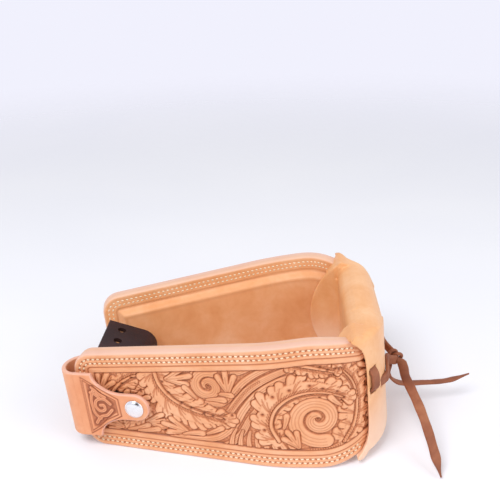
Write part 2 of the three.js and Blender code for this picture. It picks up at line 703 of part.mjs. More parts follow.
// Wear leather: two layers bent to a U under the roller, their legs rising to the neck's mouth.
function wearOutline(innerRadius, thickness, legLength) {
  const flareAngle = deg(WEAR_FLARE_DEG);
  const side = (radius) => {
    const curve = arc(0, boltHeight, radius, -Math.PI / 2, -flareAngle, 10);
    const [y, z] = curve[curve.length - 1];
    curve.push([y + legLength * Math.sin(flareAngle), z + legLength * Math.cos(flareAngle)]);
    return curve;
  };
  const outer = side(innerRadius + thickness);
  const inner = side(innerRadius);
  const left = (points) => points.slice(1).map(([y, z]) => [-y, z]);
  return [...left(outer).reverse(), ...outer, ...inner.reverse(), ...left(side(innerRadius))];
}

const legTop = WEAR_LEG_LENGTH + WEAR_INNER_EXTRA;
const swingTop = Math.hypot(legTop, ROLLER_DIAMETER / 2 + GAP + WEAR_INNER_THICKNESS + GAP + WEAR_OUTER_THICKNESS);
const wearNear = slantX(strapInnerIn) - swingTop * Math.tan(flare) - GAP;
const wearFar = -(slantX(bulgeBottom) - swingTop * Math.tan(flare) - GAP);
const wearTurn = ACROSS_X.clone().setPosition((wearNear + wearFar) / 2, 0, 0);
const wearInnerRadius = ROLLER_DIAMETER / 2 + GAP;
const wearOuterRadius = wearInnerRadius + WEAR_INNER_THICKNESS + GAP;
const wearWidth = wearNear - wearFar;
const wearInner = prism(wearOutline(wearInnerRadius, WEAR_INNER_THICKNESS, legTop), wearWidth, wearTurn);
let wearOuter = prism(wearOutline(wearOuterRadius, WEAR_OUTER_THICKNESS, WEAR_LEG_LENGTH), wearWidth, wearTurn);
const legDirection = new THREE.Vector3(0, Math.sin(deg(WEAR_FLARE_DEG)), Math.cos(deg(WEAR_FLARE_DEG)));
const legNormal = new THREE.Vector3(0, legDirection.z, -legDirection.y);
for (const place of [-1, 0, 1]) {
  const hole = new THREE.CylinderGeometry(WEAR_HOLE_DIAMETER / 2, WEAR_HOLE_DIAMETER / 2, WEAR_OUTER_THICKNESS + 1, 24);
  const centre = new THREE.Vector3((wearNear + wearFar) / 2 + place * WEAR_HOLE_PITCH, 0, boltHeight);
  centre.addScaledVector(legNormal, wearOuterRadius + WEAR_OUTER_THICKNESS / 2);
  centre.addScaledVector(legDirection, WEAR_LEG_LENGTH - WEAR_HOLE_FROM_END);
  hole.applyMatrix4(basis(AX, legNormal, new THREE.Vector3().crossVectors(AX, legNormal)).setPosition(centre));
  wearOuter = wearOuter.subtract(solid(hole));
}
add("wear_leather_inner", wearInner, COLOURS.plain, 0.6);
add("wear_leather_outer", wearOuter, COLOURS.dark, 0.6);

// Snap strap: the fixed length from the bolt over the end of the arm, then the flap.
const strapFoot = BOLT_DROP / Math.cos(flare) + STRAP_FOOT_BELOW_BOLT;

function strapHalf(s) {
  const t = THREE.MathUtils.smoothstep(s, BORDER, strapFoot);
  return (STRAP_WIDTH + (STRAP_FOOT_WIDTH - STRAP_WIDTH) * t) / 2;
}

function strapRings() {
  const rings = [];
  const halves = [];
  const push = (half, inside, outside) => {
    const bevel = 0.5;
    const mid = (k) => inside.clone().lerp(outside, k);
    const line = [[half - bevel, 1], [half, 0.8], [half, 0.2], [half - bevel, 0]];
    const full = [...line, ...line.map(([y, k]) => [-y, k]).reverse()];
    rings.push(full.map(([y, k]) => mid(k).setY(y)));
    halves.push(full.map(([y, k]) => new THREE.Vector2(y, k * STRAP_THICKNESS)));
  };
  for (let s = strapFoot; s > STRAP_BEND_DROP + 0.1; s -= (strapFoot - STRAP_BEND_DROP) / 7) {
    push(strapHalf(s), armPoint(s, 0, strapInnerOut), armPoint(s, 0, strapInnerIn));
  }
  for (let i = 0; i <= 12; i++) {
    const angle = Math.PI * (i / 12);
    const at = (radius) =>
      armPoint(STRAP_BEND_DROP - radius * Math.sin(angle), 0, bendMiddle - radius * Math.cos(angle));
    push(STRAP_WIDTH / 2, at(bendInner), at(bendOuter));
  }
  return [rings, halves];
}

const [bendRings, bendOutlines] = strapRings();
const strapBolt = rod(boltHole, rollerNear - 1, slantX(0));
add("snap_strap", loft(bendRings, (i) => bendOutlines[i]).subtract(strapBolt), COLOURS.plain, 0.55);

// Outline of the flap from its bend: straight, then concave shoulders to a round tongue.
function flapOutline() {
  const start = STRAP_BEND_DROP + GAP;
  const right = [[start, STRAP_WIDTH / 2]];
  for (let i = 0; i <= 8; i++) {
    const t = (i / 8) * (Math.PI / 2);
    const s = SHOULDER_START + (SHOULDER_END - SHOULDER_START) * (1 - Math.cos(t));
    right.push([s, STRAP_WIDTH / 2 - ((STRAP_WIDTH - TONGUE_WIDTH) / 2) * Math.sin(t)]);
  }
  const tip = arc(snapReach, 0, TONGUE_WIDTH / 2, Math.PI / 2, 0, 8);
  const upper = [...right, ...tip];
  return [...upper, ...upper.slice(0, -1).map(([s, y]) => [s, -y]).reverse()];
}

const flapTurn = basis(down, AY, new THREE.Vector3().crossVectors(down, AY));
flapTurn.setPosition(armPoint(0, 0, (flapInner + flapOuter) / 2));
const postHole = snapPiece([
  [0, flapInner - 1],
  [rivetRadius + GAP, flapInner - 1],
  [rivetRadius + GAP, flapOuter + 1],
  [0, flapOuter + 1],
]);
add("snap_flap", prism(flapOutline(), STRAP_THICKNESS, flapTurn).subtract(postHole), COLOURS.plain, 0.55);

// Snap: cap and socket clamp the flap; the stud and its rivet are set through the cover.
const socketTop = flapInner - GAP;
const socketBottom = socketTop - SOCKET_HEIGHT;
const capBase = flapOuter + GAP;
const capDome = [];
for (let i = 0; i <= 7; i++) {
  const t = (i / 7) * (Math.PI / 2);
  capDome.push([(SNAP_DIAMETER / 2) * Math.cos(t), capBase + 0.7 + (SNAP_CAP_HEIGHT - 0.7) * Math.sin(t)]);
}
capDome[7][0] = 0;
const capPostEnd = socketTop - 0.4;
add("snap_cap", snapPiece([[0, capPostEnd], [rivetRadius, capPostEnd], [rivetRadius, capBase],
  [SNAP_DIAMETER / 2 - 0.4, capBase], [SNAP_DIAMETER / 2, capBase + 0.3], ...capDome]), COLOURS.chrome, 0.12, 1);
const cavity = STUD_KNOB_DIAMETER / 2 + GAP;
const socketRoof = socketTop - 0.6;
add("snap_socket", snapPiece([[rivetRadius + GAP, socketTop], [rivetRadius + GAP, socketRoof], [cavity, socketRoof],
  [cavity, socketBottom], [SOCKET_DIAMETER / 2 - 0.5, socketBottom], [SOCKET_DIAMETER / 2, socketBottom + 0.5],
  [SOCKET_DIAMETER / 2, socketTop]]), COLOURS.steel, 0.3, 0.9);
add("snap_stud", snapPiece([[studBore, studBaseBottom], [STUD_BASE_DIAMETER / 2, studBaseBottom],
  [STUD_BASE_DIAMETER / 2, studBaseTop], [STUD_KNOB_DIAMETER / 2 - 0.4, studBaseTop],
  [STUD_KNOB_DIAMETER / 2, studBaseTop + STUD_KNOB_HEIGHT * 0.6], [STUD_KNOB_DIAMETER / 2 - 0.4, studBaseTop + STUD_KNOB_HEIGHT],
  [studBore, studBaseTop + STUD_KNOB_HEIGHT]]), COLOURS.steel, 0.3, 0.9);
add("stud_rivet", snapPiece([[0, rivetFlangeBottom], [RIVET_FLANGE_DIAMETER / 2, rivetFlangeBottom],
  [RIVET_FLANGE_DIAMETER / 2, rivetFlangeTop], [rivetRadius, rivetFlangeTop], [rivetRadius, rivetTop], [0, rivetTop]]),
  COLOURS.steel, 0.3, 0.9);

// Overhand knot that ties the saddle string under the middle of the tread.
const knotShape = new THREE.TorusKnotGeometry(KNOT_RADIUS, KNOT_TUBE, 56, 7, 2, 3);
knotShape.rotateY(Math.PI / 2);
knotShape.translate(KNOT_X, -KNOT_DROP, -KNOT_OFFSET);
add("string_knot", solid(knotShape), COLOURS.thong, 0.7);

// Laid down on the straight lower edges of both arms, with the tread towards +X.
const laid = new THREE.Matrix4().makeRotationY(-Math.atan(edgeSlope));
laid.multiply(basis(AY.clone().negate(), AZ, AX.clone().negate()));
stirrup.applyMatrix4(laid);
stirrup.updateMatrixWorld(true);
const bounds = new THREE.Box3().setFromObject(stirrup, true);
const centre = bounds.getCenter(new THREE.Vector3());
stirrup.position.set(-centre.x, -centre.y, -bounds.min.z);
stirrup.updateMatrixWorld(true);

// Free tails of the string, by points measured from the knot: right, away from the near arm, and up.
// Each starts on the knot, at a point given in parts of the knot's reach.
const LONG_START = [0.75, -0.45, -0.5];
const LONG_TAIL = [[5.4, -8, -4.9], [5.4, -15, -6.4], [7.8, -26, -9.6], [11.2, -37.8, -15], [14.2, -50, -21.8],
  [16.8, -62.6, -30.2], [19.3, -75.4, -40.2]];
const SHORT_START = [-0.45, 0.2, -0.95];
const SHORT_TAIL = [[-3.6, 2.2, -12.2], [-1.8, 3, -18], [2.3, 3.8, -22.4], [7.9, 4.6, -24.6], [14.5, 5.4, -25],
  [21, 6.4, -25.3], [29, 8, -26], [40, 10, -26], [48.5, 12, -24.6], [55.8, 14, -23]];

function tail(name, start, offsets, widthDirection) {
  const knot = stirrup.localToWorld(new THREE.Vector3(KNOT_X, -KNOT_DROP, -KNOT_OFFSET));
  const points = offsets.map(([x, y, z]) => knot.clone().add(new THREE.Vector3(x, y, z)));
  points.unshift(knot.clone().addScaledVector(new THREE.Vector3(...start), knotReach + GAP));
  const path = new THREE.CatmullRomCurve3(points);
  const steps = Math.round(path.getLength() / (STRING_WIDTH / 1.6));
  const frames = path.computeFrenetFrames(steps, false);
  const turn = Math.atan2(frames.binormals[0].dot(widthDirection), frames.normals[0].dot(widthDirection));
  const ring = [];
  for (let i = 0; i < 8; i++) {
    const angle = ((i + 0.5) / 8) * 2 * Math.PI;
    const p = new THREE.Vector2((STRING_WIDTH / 2) * Math.cos(angle), (STRING_THICKNESS / 2) * Math.sin(angle));
    ring.push(p.rotateAround(new THREE.Vector2(), turn));
  }
  const options = { steps, bevelEnabled: false, extrudePath: path };
  const geometry = new THREE.ExtrudeGeometry(new THREE.Shape(ring), options);
  const material = new THREE.MeshStandardMaterial({ color: COLOURS.thong, roughness: 0.7, metalness: 0 });
  const mesh = new THREE.Mesh(geometryOf(solid(geometry)), material);
  mesh.name = name;
  return mesh;
}

const part = new THREE.Group();
part.add(stirrup);
part.add(tail("string_tail_long", LONG_START, LONG_TAIL, new THREE.Vector3(0.8, 0.5, -0.3).normalize()));
part.add(tail("string_tail_short", SHORT_START, SHORT_TAIL, new THREE.Vector3(0, 0.3, 0.95).normalize()));

export default part;
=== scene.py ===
import json
import math

import bmesh
import bpy
import numpy as np
from mathutils import Matrix, Vector

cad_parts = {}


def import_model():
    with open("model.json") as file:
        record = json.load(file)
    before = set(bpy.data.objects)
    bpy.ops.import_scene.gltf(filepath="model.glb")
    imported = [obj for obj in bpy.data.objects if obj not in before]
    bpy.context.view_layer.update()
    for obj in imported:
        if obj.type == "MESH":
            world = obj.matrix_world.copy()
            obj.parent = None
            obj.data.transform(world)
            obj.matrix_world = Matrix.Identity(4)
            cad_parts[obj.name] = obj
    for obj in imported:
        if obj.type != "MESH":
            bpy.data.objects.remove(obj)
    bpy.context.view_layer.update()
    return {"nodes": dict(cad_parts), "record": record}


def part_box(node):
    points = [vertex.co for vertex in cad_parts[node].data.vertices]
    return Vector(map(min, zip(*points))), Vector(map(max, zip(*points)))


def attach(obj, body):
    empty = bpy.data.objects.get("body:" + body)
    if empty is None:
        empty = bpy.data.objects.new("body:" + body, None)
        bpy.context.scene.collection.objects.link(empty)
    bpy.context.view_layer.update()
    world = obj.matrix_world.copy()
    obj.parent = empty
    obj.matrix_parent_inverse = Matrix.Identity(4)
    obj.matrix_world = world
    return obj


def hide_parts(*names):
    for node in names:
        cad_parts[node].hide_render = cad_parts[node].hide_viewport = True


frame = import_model()
scene = bpy.context.scene
rng = np.random.default_rng(7)

# Sizes in millimetres, as in the CAD model
HEIGHT, NECK_WIDTH, TREAD_WIDTH = 200.0, 86.0, 139.0
PLUMB_HEIGHT, EASE_RADIUS, CORNER_RADIUS = 60.0, 135.0, 47.0
ARM_WIDTH_NECK, ARM_WIDTH_WIDEST, ARM_WIDTH_TREAD = 68.0, 91.0, 78.0
WIDEST_HEIGHT, WIDEST_EASE, NARROW_HEIGHT, ARM_CORNER_RADIUS = 40.0, 14.0, 18.0, 12.0
COVER, CORE, LINING, TREAD_LEATHER, BORDER, GAP = 5.0, 5.0, 4.7, 2.9, 15.0, 0.3
RIM_OUTER_MIDDLE, RIM_EDGE, PANEL_TUCK = 15.0, 25.0, 12.0
BOLT_DROP, BOLT_DIAMETER, ROLLER_DIAMETER, BOLT_SEAT_DEPTH = 27.5, 8.0, 13.0, 3.1
WEAR_INNER, WEAR_OUTER, WEAR_FLARE = 2.5, 3.0, math.radians(22.7)
WEAR_LEG, WEAR_HOLE_RADIUS, WEAR_HOLE_FROM_END, WEAR_HOLE_PITCH = 26.0, 3.0, 11.0, 15.0
STRAP_WIDTH, STRAP_THICKNESS, STRAP_FOOT_WIDTH, STRAP_FOOT_BELOW_BOLT = 47.0, 2.8, 28.0, 12.0
STRAP_BEND_DROP, FLAP_REACH, TONGUE_WIDTH, SHOULDER_START, SHOULDER_END = 1.5, 50.0, 19.0, 14.0, 33.0
SNAP_DIAMETER, SNAP_POST_RADIUS, SOCKET_HEIGHT, STUD_BASE, STUD_SINK = 12.6, 1.5, 2.2, 0.6, 0.5
STRING_WIDTH, STRING_THICKNESS, KNOT_RADIUS, KNOT_TUBE = 6.4, 2.2, 3.2, 1.3
KNOT = np.array([4.0, -7.0, -9.0])
STITCH_PITCH, STITCH_ROWS, STITCH_HALF = 3.4, (4.0, 7.0), 1.12

# The stirrup's own frame: X from arm to arm, Y across the arms, Z up to the neck.
# world() lays it down as the CAD model lies, in metres.
SLOPE = math.atan((ARM_WIDTH_WIDEST - ARM_WIDTH_NECK) / 2 / (HEIGHT - WIDEST_HEIGHT))
OFFSET = np.array([97.457656, 0.0, 48.250529])
AXES = np.array([
    [0.0, -1.0, 0.0],
    [-math.sin(SLOPE), 0.0, math.cos(SLOPE)],
    [-math.cos(SLOPE), 0.0, -math.sin(SLOPE)],
])


def world(points):
    return (np.asarray(points, float) @ AXES + OFFSET) / 1000.0


def smooth(x, a, b):
    t = np.clip((x - a) / (b - a), 0.0, 1.0)
    return t * t * (3 - 2 * t)


def groove(d, width):
    """Section of a rounded groove, 1 at its middle, at a distance d from it."""
    return np.exp(-(d / width) ** 2)


# Face profile of an arm, as in the CAD: flare, easing arc, plumb stretch, corner
def flare_run(flare):
    """How far the flared stretch goes out and down."""
    return (TREAD_WIDTH / 2 - EASE_RADIUS * (1 - math.cos(flare)) - NECK_WIDTH / 2,
            HEIGHT - PLUMB_HEIGHT - EASE_RADIUS * math.sin(flare))


CORNER_TOP = TREAD_LEATHER - COVER + CORNER_RADIUS
FLARE = 0.15
for _ in range(20):
    FLARE = math.atan2(*flare_run(FLARE))
FLARE_LEN = math.hypot(*flare_run(FLARE))
EASE_LEN = EASE_RADIUS * FLARE
PLUMB_LEN = PLUMB_HEIGHT - CORNER_TOP
CORNER_START = FLARE_LEN + EASE_LEN + PLUMB_LEN
PANEL_END = CORNER_START + CORNER_RADIUS * math.asin((CORNER_TOP - RIM_OUTER_MIDDLE + PANEL_TUCK) / CORNER_RADIUS)
LINING_END = CORNER_START + max(0.0, CORNER_TOP - (RIM_EDGE - PANEL_TUCK))
BOLT_HEIGHT = HEIGHT - BOLT_DROP
CORE_TOP = -(COVER + GAP)
BORDER_BOTTOM = CORE_TOP - LINING
BULGE_BOTTOM = CORE_TOP - CORE - GAP - LINING
DOWN = np.array([math.sin(FLARE), 0, -math.cos(FLARE)])
OUT = np.array([math.cos(FLARE), 0, math.sin(FLARE)])


def profile(s):
    """Place and outward direction of an arm's face, in X and Z, at s down it from the neck."""
    s = np.asarray(s, float)
    a = FLARE - np.clip(s - FLARE_LEN, 0, EASE_LEN) / EASE_RADIUS
    straight = np.minimum(s, FLARE_LEN)
    x = NECK_WIDTH / 2 + straight * math.sin(FLARE) + EASE_RADIUS * (np.cos(a) - math.cos(FLARE))
    z = HEIGHT - straight * math.cos(FLARE) - EASE_RADIUS * (math.sin(FLARE) - np.sin(a))
    z = z - np.clip(s - FLARE_LEN - EASE_LEN, 0, PLUMB_LEN)
    c = np.clip(s - CORNER_START, 0, CORNER_RADIUS * math.pi / 2) / CORNER_RADIUS
    x = x - CORNER_RADIUS * (1 - np.cos(c))
    z = z - CORNER_RADIUS * np.sin(c)
    return x, z, np.cos(a - c), np.sin(a - c)


def skived(s):
    """How far a cover's face falls below the profile round the corner, under the tread leather's lip."""
    angle = np.clip(np.asarray(s, float) - CORNER_START, 0, CORNER_RADIUS * math.pi / 2) / CORNER_RADIUS
    return (COVER + GAP) * np.sin(angle) ** 2


def on_arm(side, s, y, n):
    """Point at s down an arm, y across it and n out of its face. The side is 1 near and -1 far."""
    s, y, n = np.broadcast_arrays(np.asarray(s, float), np.asarray(y, float), np.asarray(n, float))
    x, z, nx, nz = profile(s)
    return np.stack([side * (x + n * nx), y, z + n * nz], -1)


def arm_point(s, y, n):
    """The same on the near arm's straight stretch, carried on past the neck."""
    s, y, n = (np.asarray(v, float) for v in np.broadcast_arrays(s, y, n))
    p = np.array([NECK_WIDTH / 2, 0, HEIGHT]) + s[..., None] * DOWN + n[..., None] * OUT
    p[..., 1] = y
    return p


def half_width(z):
    """Half an arm's width at a height."""
    z = np.maximum(z, NARROW_HEIGHT)
    tan = math.tan(SLOPE)
    line = ARM_WIDTH_NECK / 2 + tan * (HEIGHT - z)
    top = WIDEST_HEIGHT + WIDEST_EASE
    low = ARM_WIDTH_NECK / 2 + tan * (HEIGHT - NARROW_HEIGHT)
    ease = (low - ARM_WIDTH_TREAD / 2) / (top - NARROW_HEIGHT) ** 2
    return line - ease * np.maximum(0, top - z) ** 2


def half_at(s, inset=0.0):
    """Half the width of a line that runs an inset inside the arm's edge, with the neck's rounded corners."""
    s = np.asarray(s, float)
    full = half_width(np.maximum(profile(s)[1], 0)) - inset
    radius = max(ARM_CORNER_RADIUS - inset, 4.0)
    t = np.clip(radius - (s - inset), 0, radius)
    return np.where(s - inset >= radius, full, full - radius + np.sqrt(np.maximum(radius ** 2 - t ** 2, 0)))


def inset_of(s, y):
    """Distance in from the rounded edge of an arm's face, its lower end left out."""
    across = half_width(np.maximum(profile(s)[1], 0)) - np.abs(y)
    r = ARM_CORNER_RADIUS
    corner = r - np.hypot(np.maximum(r - across, 0), np.maximum(r - s, 0))
    return np.where((across < r) & (s < r), corner, np.minimum(across, s))


def slant(n):
    """How far out from the middle the bolt's line meets the layer n above the arm's face."""
    return NECK_WIDTH / 2 + BOLT_DROP * math.tan(FLARE) + n / math.cos(FLARE)


def lengths_along(points):
    """Length of a line of points up to each of them."""
    return np.r_[0, np.cumsum(np.linalg.norm(np.diff(points, axis=0), axis=1))]


def between(t, t0, t1, a, b):
    """Straight way from a at t0 to b at t1."""
    return (t1 - t) / (t1 - t0) * a + (t - t0) / (t1 - t0) * b


def curve(points, step):
    """Centripetal curve through the points, resampled evenly about a step apart."""
    p = np.asarray(points, float)
    p = np.vstack([2 * p[0] - p[1], p, 2 * p[-1] - p[-2]])
    out = []
    for i in range(1, len(p) - 2):
        a, b, c, d = p[i - 1:i + 3]
        t0, t1 = 0.0, math.sqrt(np.linalg.norm(b - a))
        t2 = t1 + math.sqrt(np.linalg.norm(c - b))
        t3 = t2 + math.sqrt(np.linalg.norm(d - c))
        t = np.linspace(t1, t2, 24, endpoint=False)[:, None]
        e, f, g = between(t, t0, t1, a, b), between(t, t1, t2, b, c), between(t, t2, t3, c, d)
        out.append(between(t, t1, t2, between(t, t0, t2, e, f), between(t, t1, t3, f, g)))
    out = np.vstack(out + [p[-2:-1]])
    length = lengths_along(out)
    u = np.linspace(0, length[-1], max(3, int(round(length[-1] / step)) + 1))
    return np.stack([np.interp(u, length, out[:, k]) for k in range(out.shape[1])], -1)


# Camera at the photograph's viewing angle
SENSOR, FOCAL_PIXELS, PICTURE_PIXELS, CLIP_START = 36.0, 726.2, 500, 0.01
CAMERA_PLACE = (0.03189, -0.43888, 0.30425)
CAMERA_AHEAD, CAMERA_UP = Vector((-0.04615, 0.92158, -0.38544)), Vector((0.01279, 0.38637, 0.92226))
camera = bpy.data.objects.new("camera", bpy.data.cameras.new("camera"))
scene.collection.objects.link(camera)
scene.camera = camera
camera.data.sensor_width = SENSOR
camera.data.lens = SENSOR * FOCAL_PIXELS / PICTURE_PIXELS
camera.data.clip_start = CLIP_START
ahead = CAMERA_AHEAD.normalized()
right = ahead.cross(CAMERA_UP).normalized()
turned = Matrix((right, right.cross(ahead), -ahead)).transposed().to_4x4()
camera.matrix_world = Matrix.Translation(CAMERA_PLACE) @ turned
scene.view_settings.view_transform = "Standard"


# Materials
def feed(tree, socket, value):
    """Give an input a number, a colour or the output of another node."""
    if isinstance(value, bpy.types.NodeSocket):
        tree.links.new(value, socket)
    elif socket.type == "RGBA":
        socket.default_value = (*value, 1)
    else:
        socket.default_value = value


def node(tree, kind, *inputs, **values):
    """A new node: inputs in their order, and inputs or settings by name."""
    made = tree.nodes.new(kind)
    for key, value in values.items():
        socket = made.inputs.get(key.replace("_", " "))
        if socket is None:
            setattr(made, key, value)
        else:
            feed(tree, socket, value)
    for socket, value in zip(made.inputs, inputs):
        feed(tree, socket, value)
    return made


def noise(tree, coords, scale, detail, rough, distort=0.0):
    return node(tree, "ShaderNodeTexNoise", Vector=coords, Scale=scale, Detail=detail, Roughness=rough,
                Distortion=distort).outputs["Fac"]


def ramp(tree, value, stops):
    """Colours at places from 0 to 1, eased between."""
    made = node(tree, "ShaderNodeValToRGB", value)
    elements = made.color_ramp.elements
    while len(elements) < len(stops):
        elements.new(0.5)
    for element, (place, colour) in zip(elements, stops):
        element.position, element.color = place, (*colour, 1)
    return made.outputs["Color"]


def mix(tree, factor, a, b):
    made = node(tree, "ShaderNodeMix", factor, data_type="RGBA")
    feed(tree, made.inputs[6], a)
    feed(tree, made.inputs[7], b)
    return made.outputs[2]


def span(tree, value, low=0.0, high=1.0, start=0.0, end=1.0, kind="LINEAR"):
    """Map a value from the range start to end on to the range low to high."""
    return node(tree, "ShaderNodeMapRange", Value=value, From_Min=start, From_Max=end, To_Min=low, To_Max=high,
                interpolation_type=kind).outputs["Result"]


def bump(tree, height, strength, distance, **under):
    return node(tree, "ShaderNodeBump", Height=height, Strength=strength, Distance=distance, **under).outputs["Normal"]


def attribute(tree, name):
    return node(tree, "ShaderNodeAttribute", attribute_name=name).outputs["Fac"]


def new_material(name):
    """An empty node material, its tree and the object's coordinates."""
    material = bpy.data.materials.new(name)
    material.use_nodes = True
    material.node_tree.nodes.clear()
    coords = node(material.node_tree, "ShaderNodeTexCoord").outputs["Object"]
    return material, material.node_tree, coords


def principled(tree, **values):
    shader = node(tree, "ShaderNodeBsdfPrincipled", **values)
    node(tree, "ShaderNodeOutputMaterial", Surface=shader.outputs[0])


# Noises as scale, detail, roughness and distortion, and the depth of the bumps in metres
CLOUDS, FLECKS, GRAIN_DETAIL = (38.0, 5.0, 0.6, 0.4), (420.0, 3.0, 0.6), (2.0, 0.7)
PLATE_CLOUDS, PLATE_LINES, WOOD_RINGS = (160.0, 5.0, 0.65), (2400.0, 2.0, 0.5), (300.0, 6.0, 0.6, 0.8)
GRAIN_DEEP, FLECK_DEEP, PLATE_DEEP, WOOD_DEEP = 0.0002, 0.0004, 0.00005, 0.0003
# The edges' bluish tint is partly a painted sheen
EDGE_SHEEN_TINT, SPECULAR, COAT_ROUGHNESS = (0.92, 1.10, 1.58), 0.35, 0.35
# Painted light bounced off the floor, on the tread leather: heights in metres where it begins and where it is full, and
# how strong it gets
FLOOR_BOUNCE_FROM, FLOOR_BOUNCE_TO, FLOOR_BOUNCE_MOST = 0.058, 0.012, 0.85


def leather(name, light, base, deep, rough=(0.42, 0.6), grain=0.25, cut=(), pores=1900.0, coat=0.0, floor_bounce=None):
    """Vegetable tanned leather: clouded colour, fleck and fine grain. Painted light bounced off the floor comes in
    as a paler colour towards it. With two cut colours, the attributes cut and edge stain the cuts, with some
    painted shade, and pale the edges, partly as wear and partly as a painted sheen."""
    material, tree, coords = new_material(name)
    clouds, flecks = noise(tree, coords, *CLOUDS), noise(tree, coords, *FLECKS)
    colour = ramp(tree, clouds, [(0.30, deep), (0.50, base), (0.72, light)])
    colour = mix(tree, ramp(tree, flecks, [(0.45, (0, 0, 0)), (0.75, (0.22, 0.22, 0.22))]), colour, deep)
    # Painted light: a paler, pinker colour towards the floor stands in for light bounced off it
    if floor_bounce:
        height = node(tree, "ShaderNodeSeparateXYZ", coords).outputs["Z"]
        low = span(tree, height, high=FLOOR_BOUNCE_MOST, start=FLOOR_BOUNCE_FROM, end=FLOOR_BOUNCE_TO, kind="SMOOTHSTEP")
        colour = mix(tree, low, colour, floor_bounce)
    if cut:
        stained = attribute(tree, "cut")
        for start, shade in zip((0.0, 0.5), cut):
            colour = mix(tree, span(tree, stained, start=start, end=start + 0.5), colour, shade)
        # Paler, bluish edges: partly edge wear, partly a painted sheen
        colour = mix(tree, attribute(tree, "edge"), colour, tuple(a * b for a, b in zip(light, EDGE_SHEEN_TINT)))
    fine = bump(tree, noise(tree, coords, pores, *GRAIN_DETAIL), grain, GRAIN_DEEP)
    principled(tree, Base_Color=colour, Roughness=span(tree, clouds, *rough), Specular_IOR_Level=SPECULAR,
               Coat_Weight=coat, Coat_Roughness=COAT_ROUGHNESS,
               Normal=bump(tree, flecks, grain * 0.8, FLECK_DEEP, Normal=fine))
    return material


def metal(name, colour, worn, rough, scratch=0.08):
    """Plated metal with worn clouds and fine scratches."""
    material, tree, coords = new_material(name)
    clouds, lines = noise(tree, coords, *PLATE_CLOUDS), noise(tree, coords, *PLATE_LINES)
    principled(tree, Metallic=1.0, Base_Color=ramp(tree, clouds, [(0.35, worn), (0.6, colour)]),
               Roughness=span(tree, clouds, *rough), Normal=bump(tree, lines, scratch, PLATE_DEEP))
    return material


def timber(name):
    """Sawn wood with its rings drawn out along Y."""
    material, tree, coords = new_material(name)
    stretched = node(tree, "ShaderNodeMapping", Vector=coords, Scale=(1.0, 0.12, 1.0)).outputs["Vector"]
    rings = noise(tree, stretched, *WOOD_RINGS)
    shades = [(0.3, (0.36, 0.19, 0.08)), (0.5, (0.52, 0.31, 0.14)), (0.7, (0.66, 0.44, 0.23))]
    principled(tree, Base_Color=ramp(tree, rings, shades), Roughness=span(tree, rings, 0.7, 0.5),
               Normal=bump(tree, rings, 0.3, WOOD_DEEP))
    return material


TOOLED = leather("carved_leather", (0.87, 0.49, 0.29), (0.82, 0.405, 0.215), (0.75, 0.325, 0.145), coat=0.14,
                 cut=((0.57, 0.195, 0.078), (0.15, 0.036, 0.013)))
PLAIN = leather("lining_leather", (0.87, 0.49, 0.27), (0.82, 0.40, 0.185), (0.75, 0.32, 0.12), coat=0.10,
                cut=((0.63, 0.27, 0.115), (0.40, 0.125, 0.042)))
STRAP_LEATHER = leather("strap_leather", (0.85, 0.44, 0.25), (0.80, 0.345, 0.175), (0.74, 0.28, 0.125), coat=0.12,
                        cut=((0.58, 0.20, 0.088), (0.28, 0.070, 0.026)))
# The tread leather's last colour is painted light bounced off the floor
TREAD = leather("tread_leather_skin", (0.89, 0.53, 0.29), (0.85, 0.44, 0.20), (0.78, 0.34, 0.12), (0.36, 0.52), 0.16,
                coat=0.18, floor_bounce=(0.90, 0.62, 0.46))
DARK = leather("dyed_leather", (0.055, 0.022, 0.024), (0.026, 0.010, 0.012), (0.014, 0.005, 0.006), (0.5, 0.7), 0.35)
LACE = leather("lace_leather", (0.42, 0.17, 0.085), (0.29, 0.095, 0.045), (0.17, 0.05, 0.025), (0.5, 0.75), 0.6,
               pores=1500.0)
THREAD = leather("waxed_thread", (0.93, 0.85, 0.68), (0.86, 0.74, 0.54), (0.74, 0.58, 0.38), (0.6, 0.8), 0.5,
                 pores=3800.0)
STEEL = metal("zinc_plate", (0.58, 0.58, 0.57), (0.36, 0.35, 0.34), (0.5, 0.28))
CHROME = metal("chrome_plate", (0.88, 0.88, 0.89), (0.78, 0.78, 0.80), (0.24, 0.15), 0.03)
WOOD = timber("sawn_wood")

slots = {row["node"]: row["material_slot"] for row in frame["record"]["subparts"]}
FINISH = {"tooled_leather": TOOLED, "plain_leather": PLAIN, "tread_leather": TREAD, "dark_leather": DARK,
          "string_leather": LACE, "wood": WOOD, "steel": STEEL, "chrome": CHROME}
for name, part in frame["nodes"].items():
    part.data.materials.clear()
    part.data.materials.append(FINISH[slots[name]])


# Mesh helpers
SHARP_ANGLE = math.radians(72)


def link(name, mesh):
    made = bpy.data.objects.new(name, mesh)
    scene.collection.objects.link(made)
    return made


def settled(made, body, stands_for):
    """Say what a piece replaces and what it rides on."""
    if stands_for:
        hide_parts(*stands_for)
    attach(made, body)
    return made


def piece(name, verts, faces, material, body, stands_for=(), attributes=None, in_world=False):
    """A piece from points in the stirrup's frame in millimetres, or in the world's in metres."""
    verts = np.asarray(verts, float).reshape(-1, 3)
    mesh = bpy.data.meshes.new(name)
    mesh.from_pydata((verts if in_world else world(verts)).tolist(), [], faces)
    for key, values in (attributes or {}).items():
        layer = mesh.attributes.new(key, "FLOAT", "POINT")
        layer.data.foreach_set("value", np.asarray(values, np.float32).ravel())
    work = bmesh.new()
    work.from_mesh(mesh)
    bmesh.ops.recalc_face_normals(work, faces=work.faces)
    work.to_mesh(mesh)
    work.free()
    mesh.shade_smooth()
    mesh.set_sharp_from_angle(angle=SHARP_ANGLE)
    mesh.materials.append(material)
    return settled(link(name, mesh), body, stands_for)


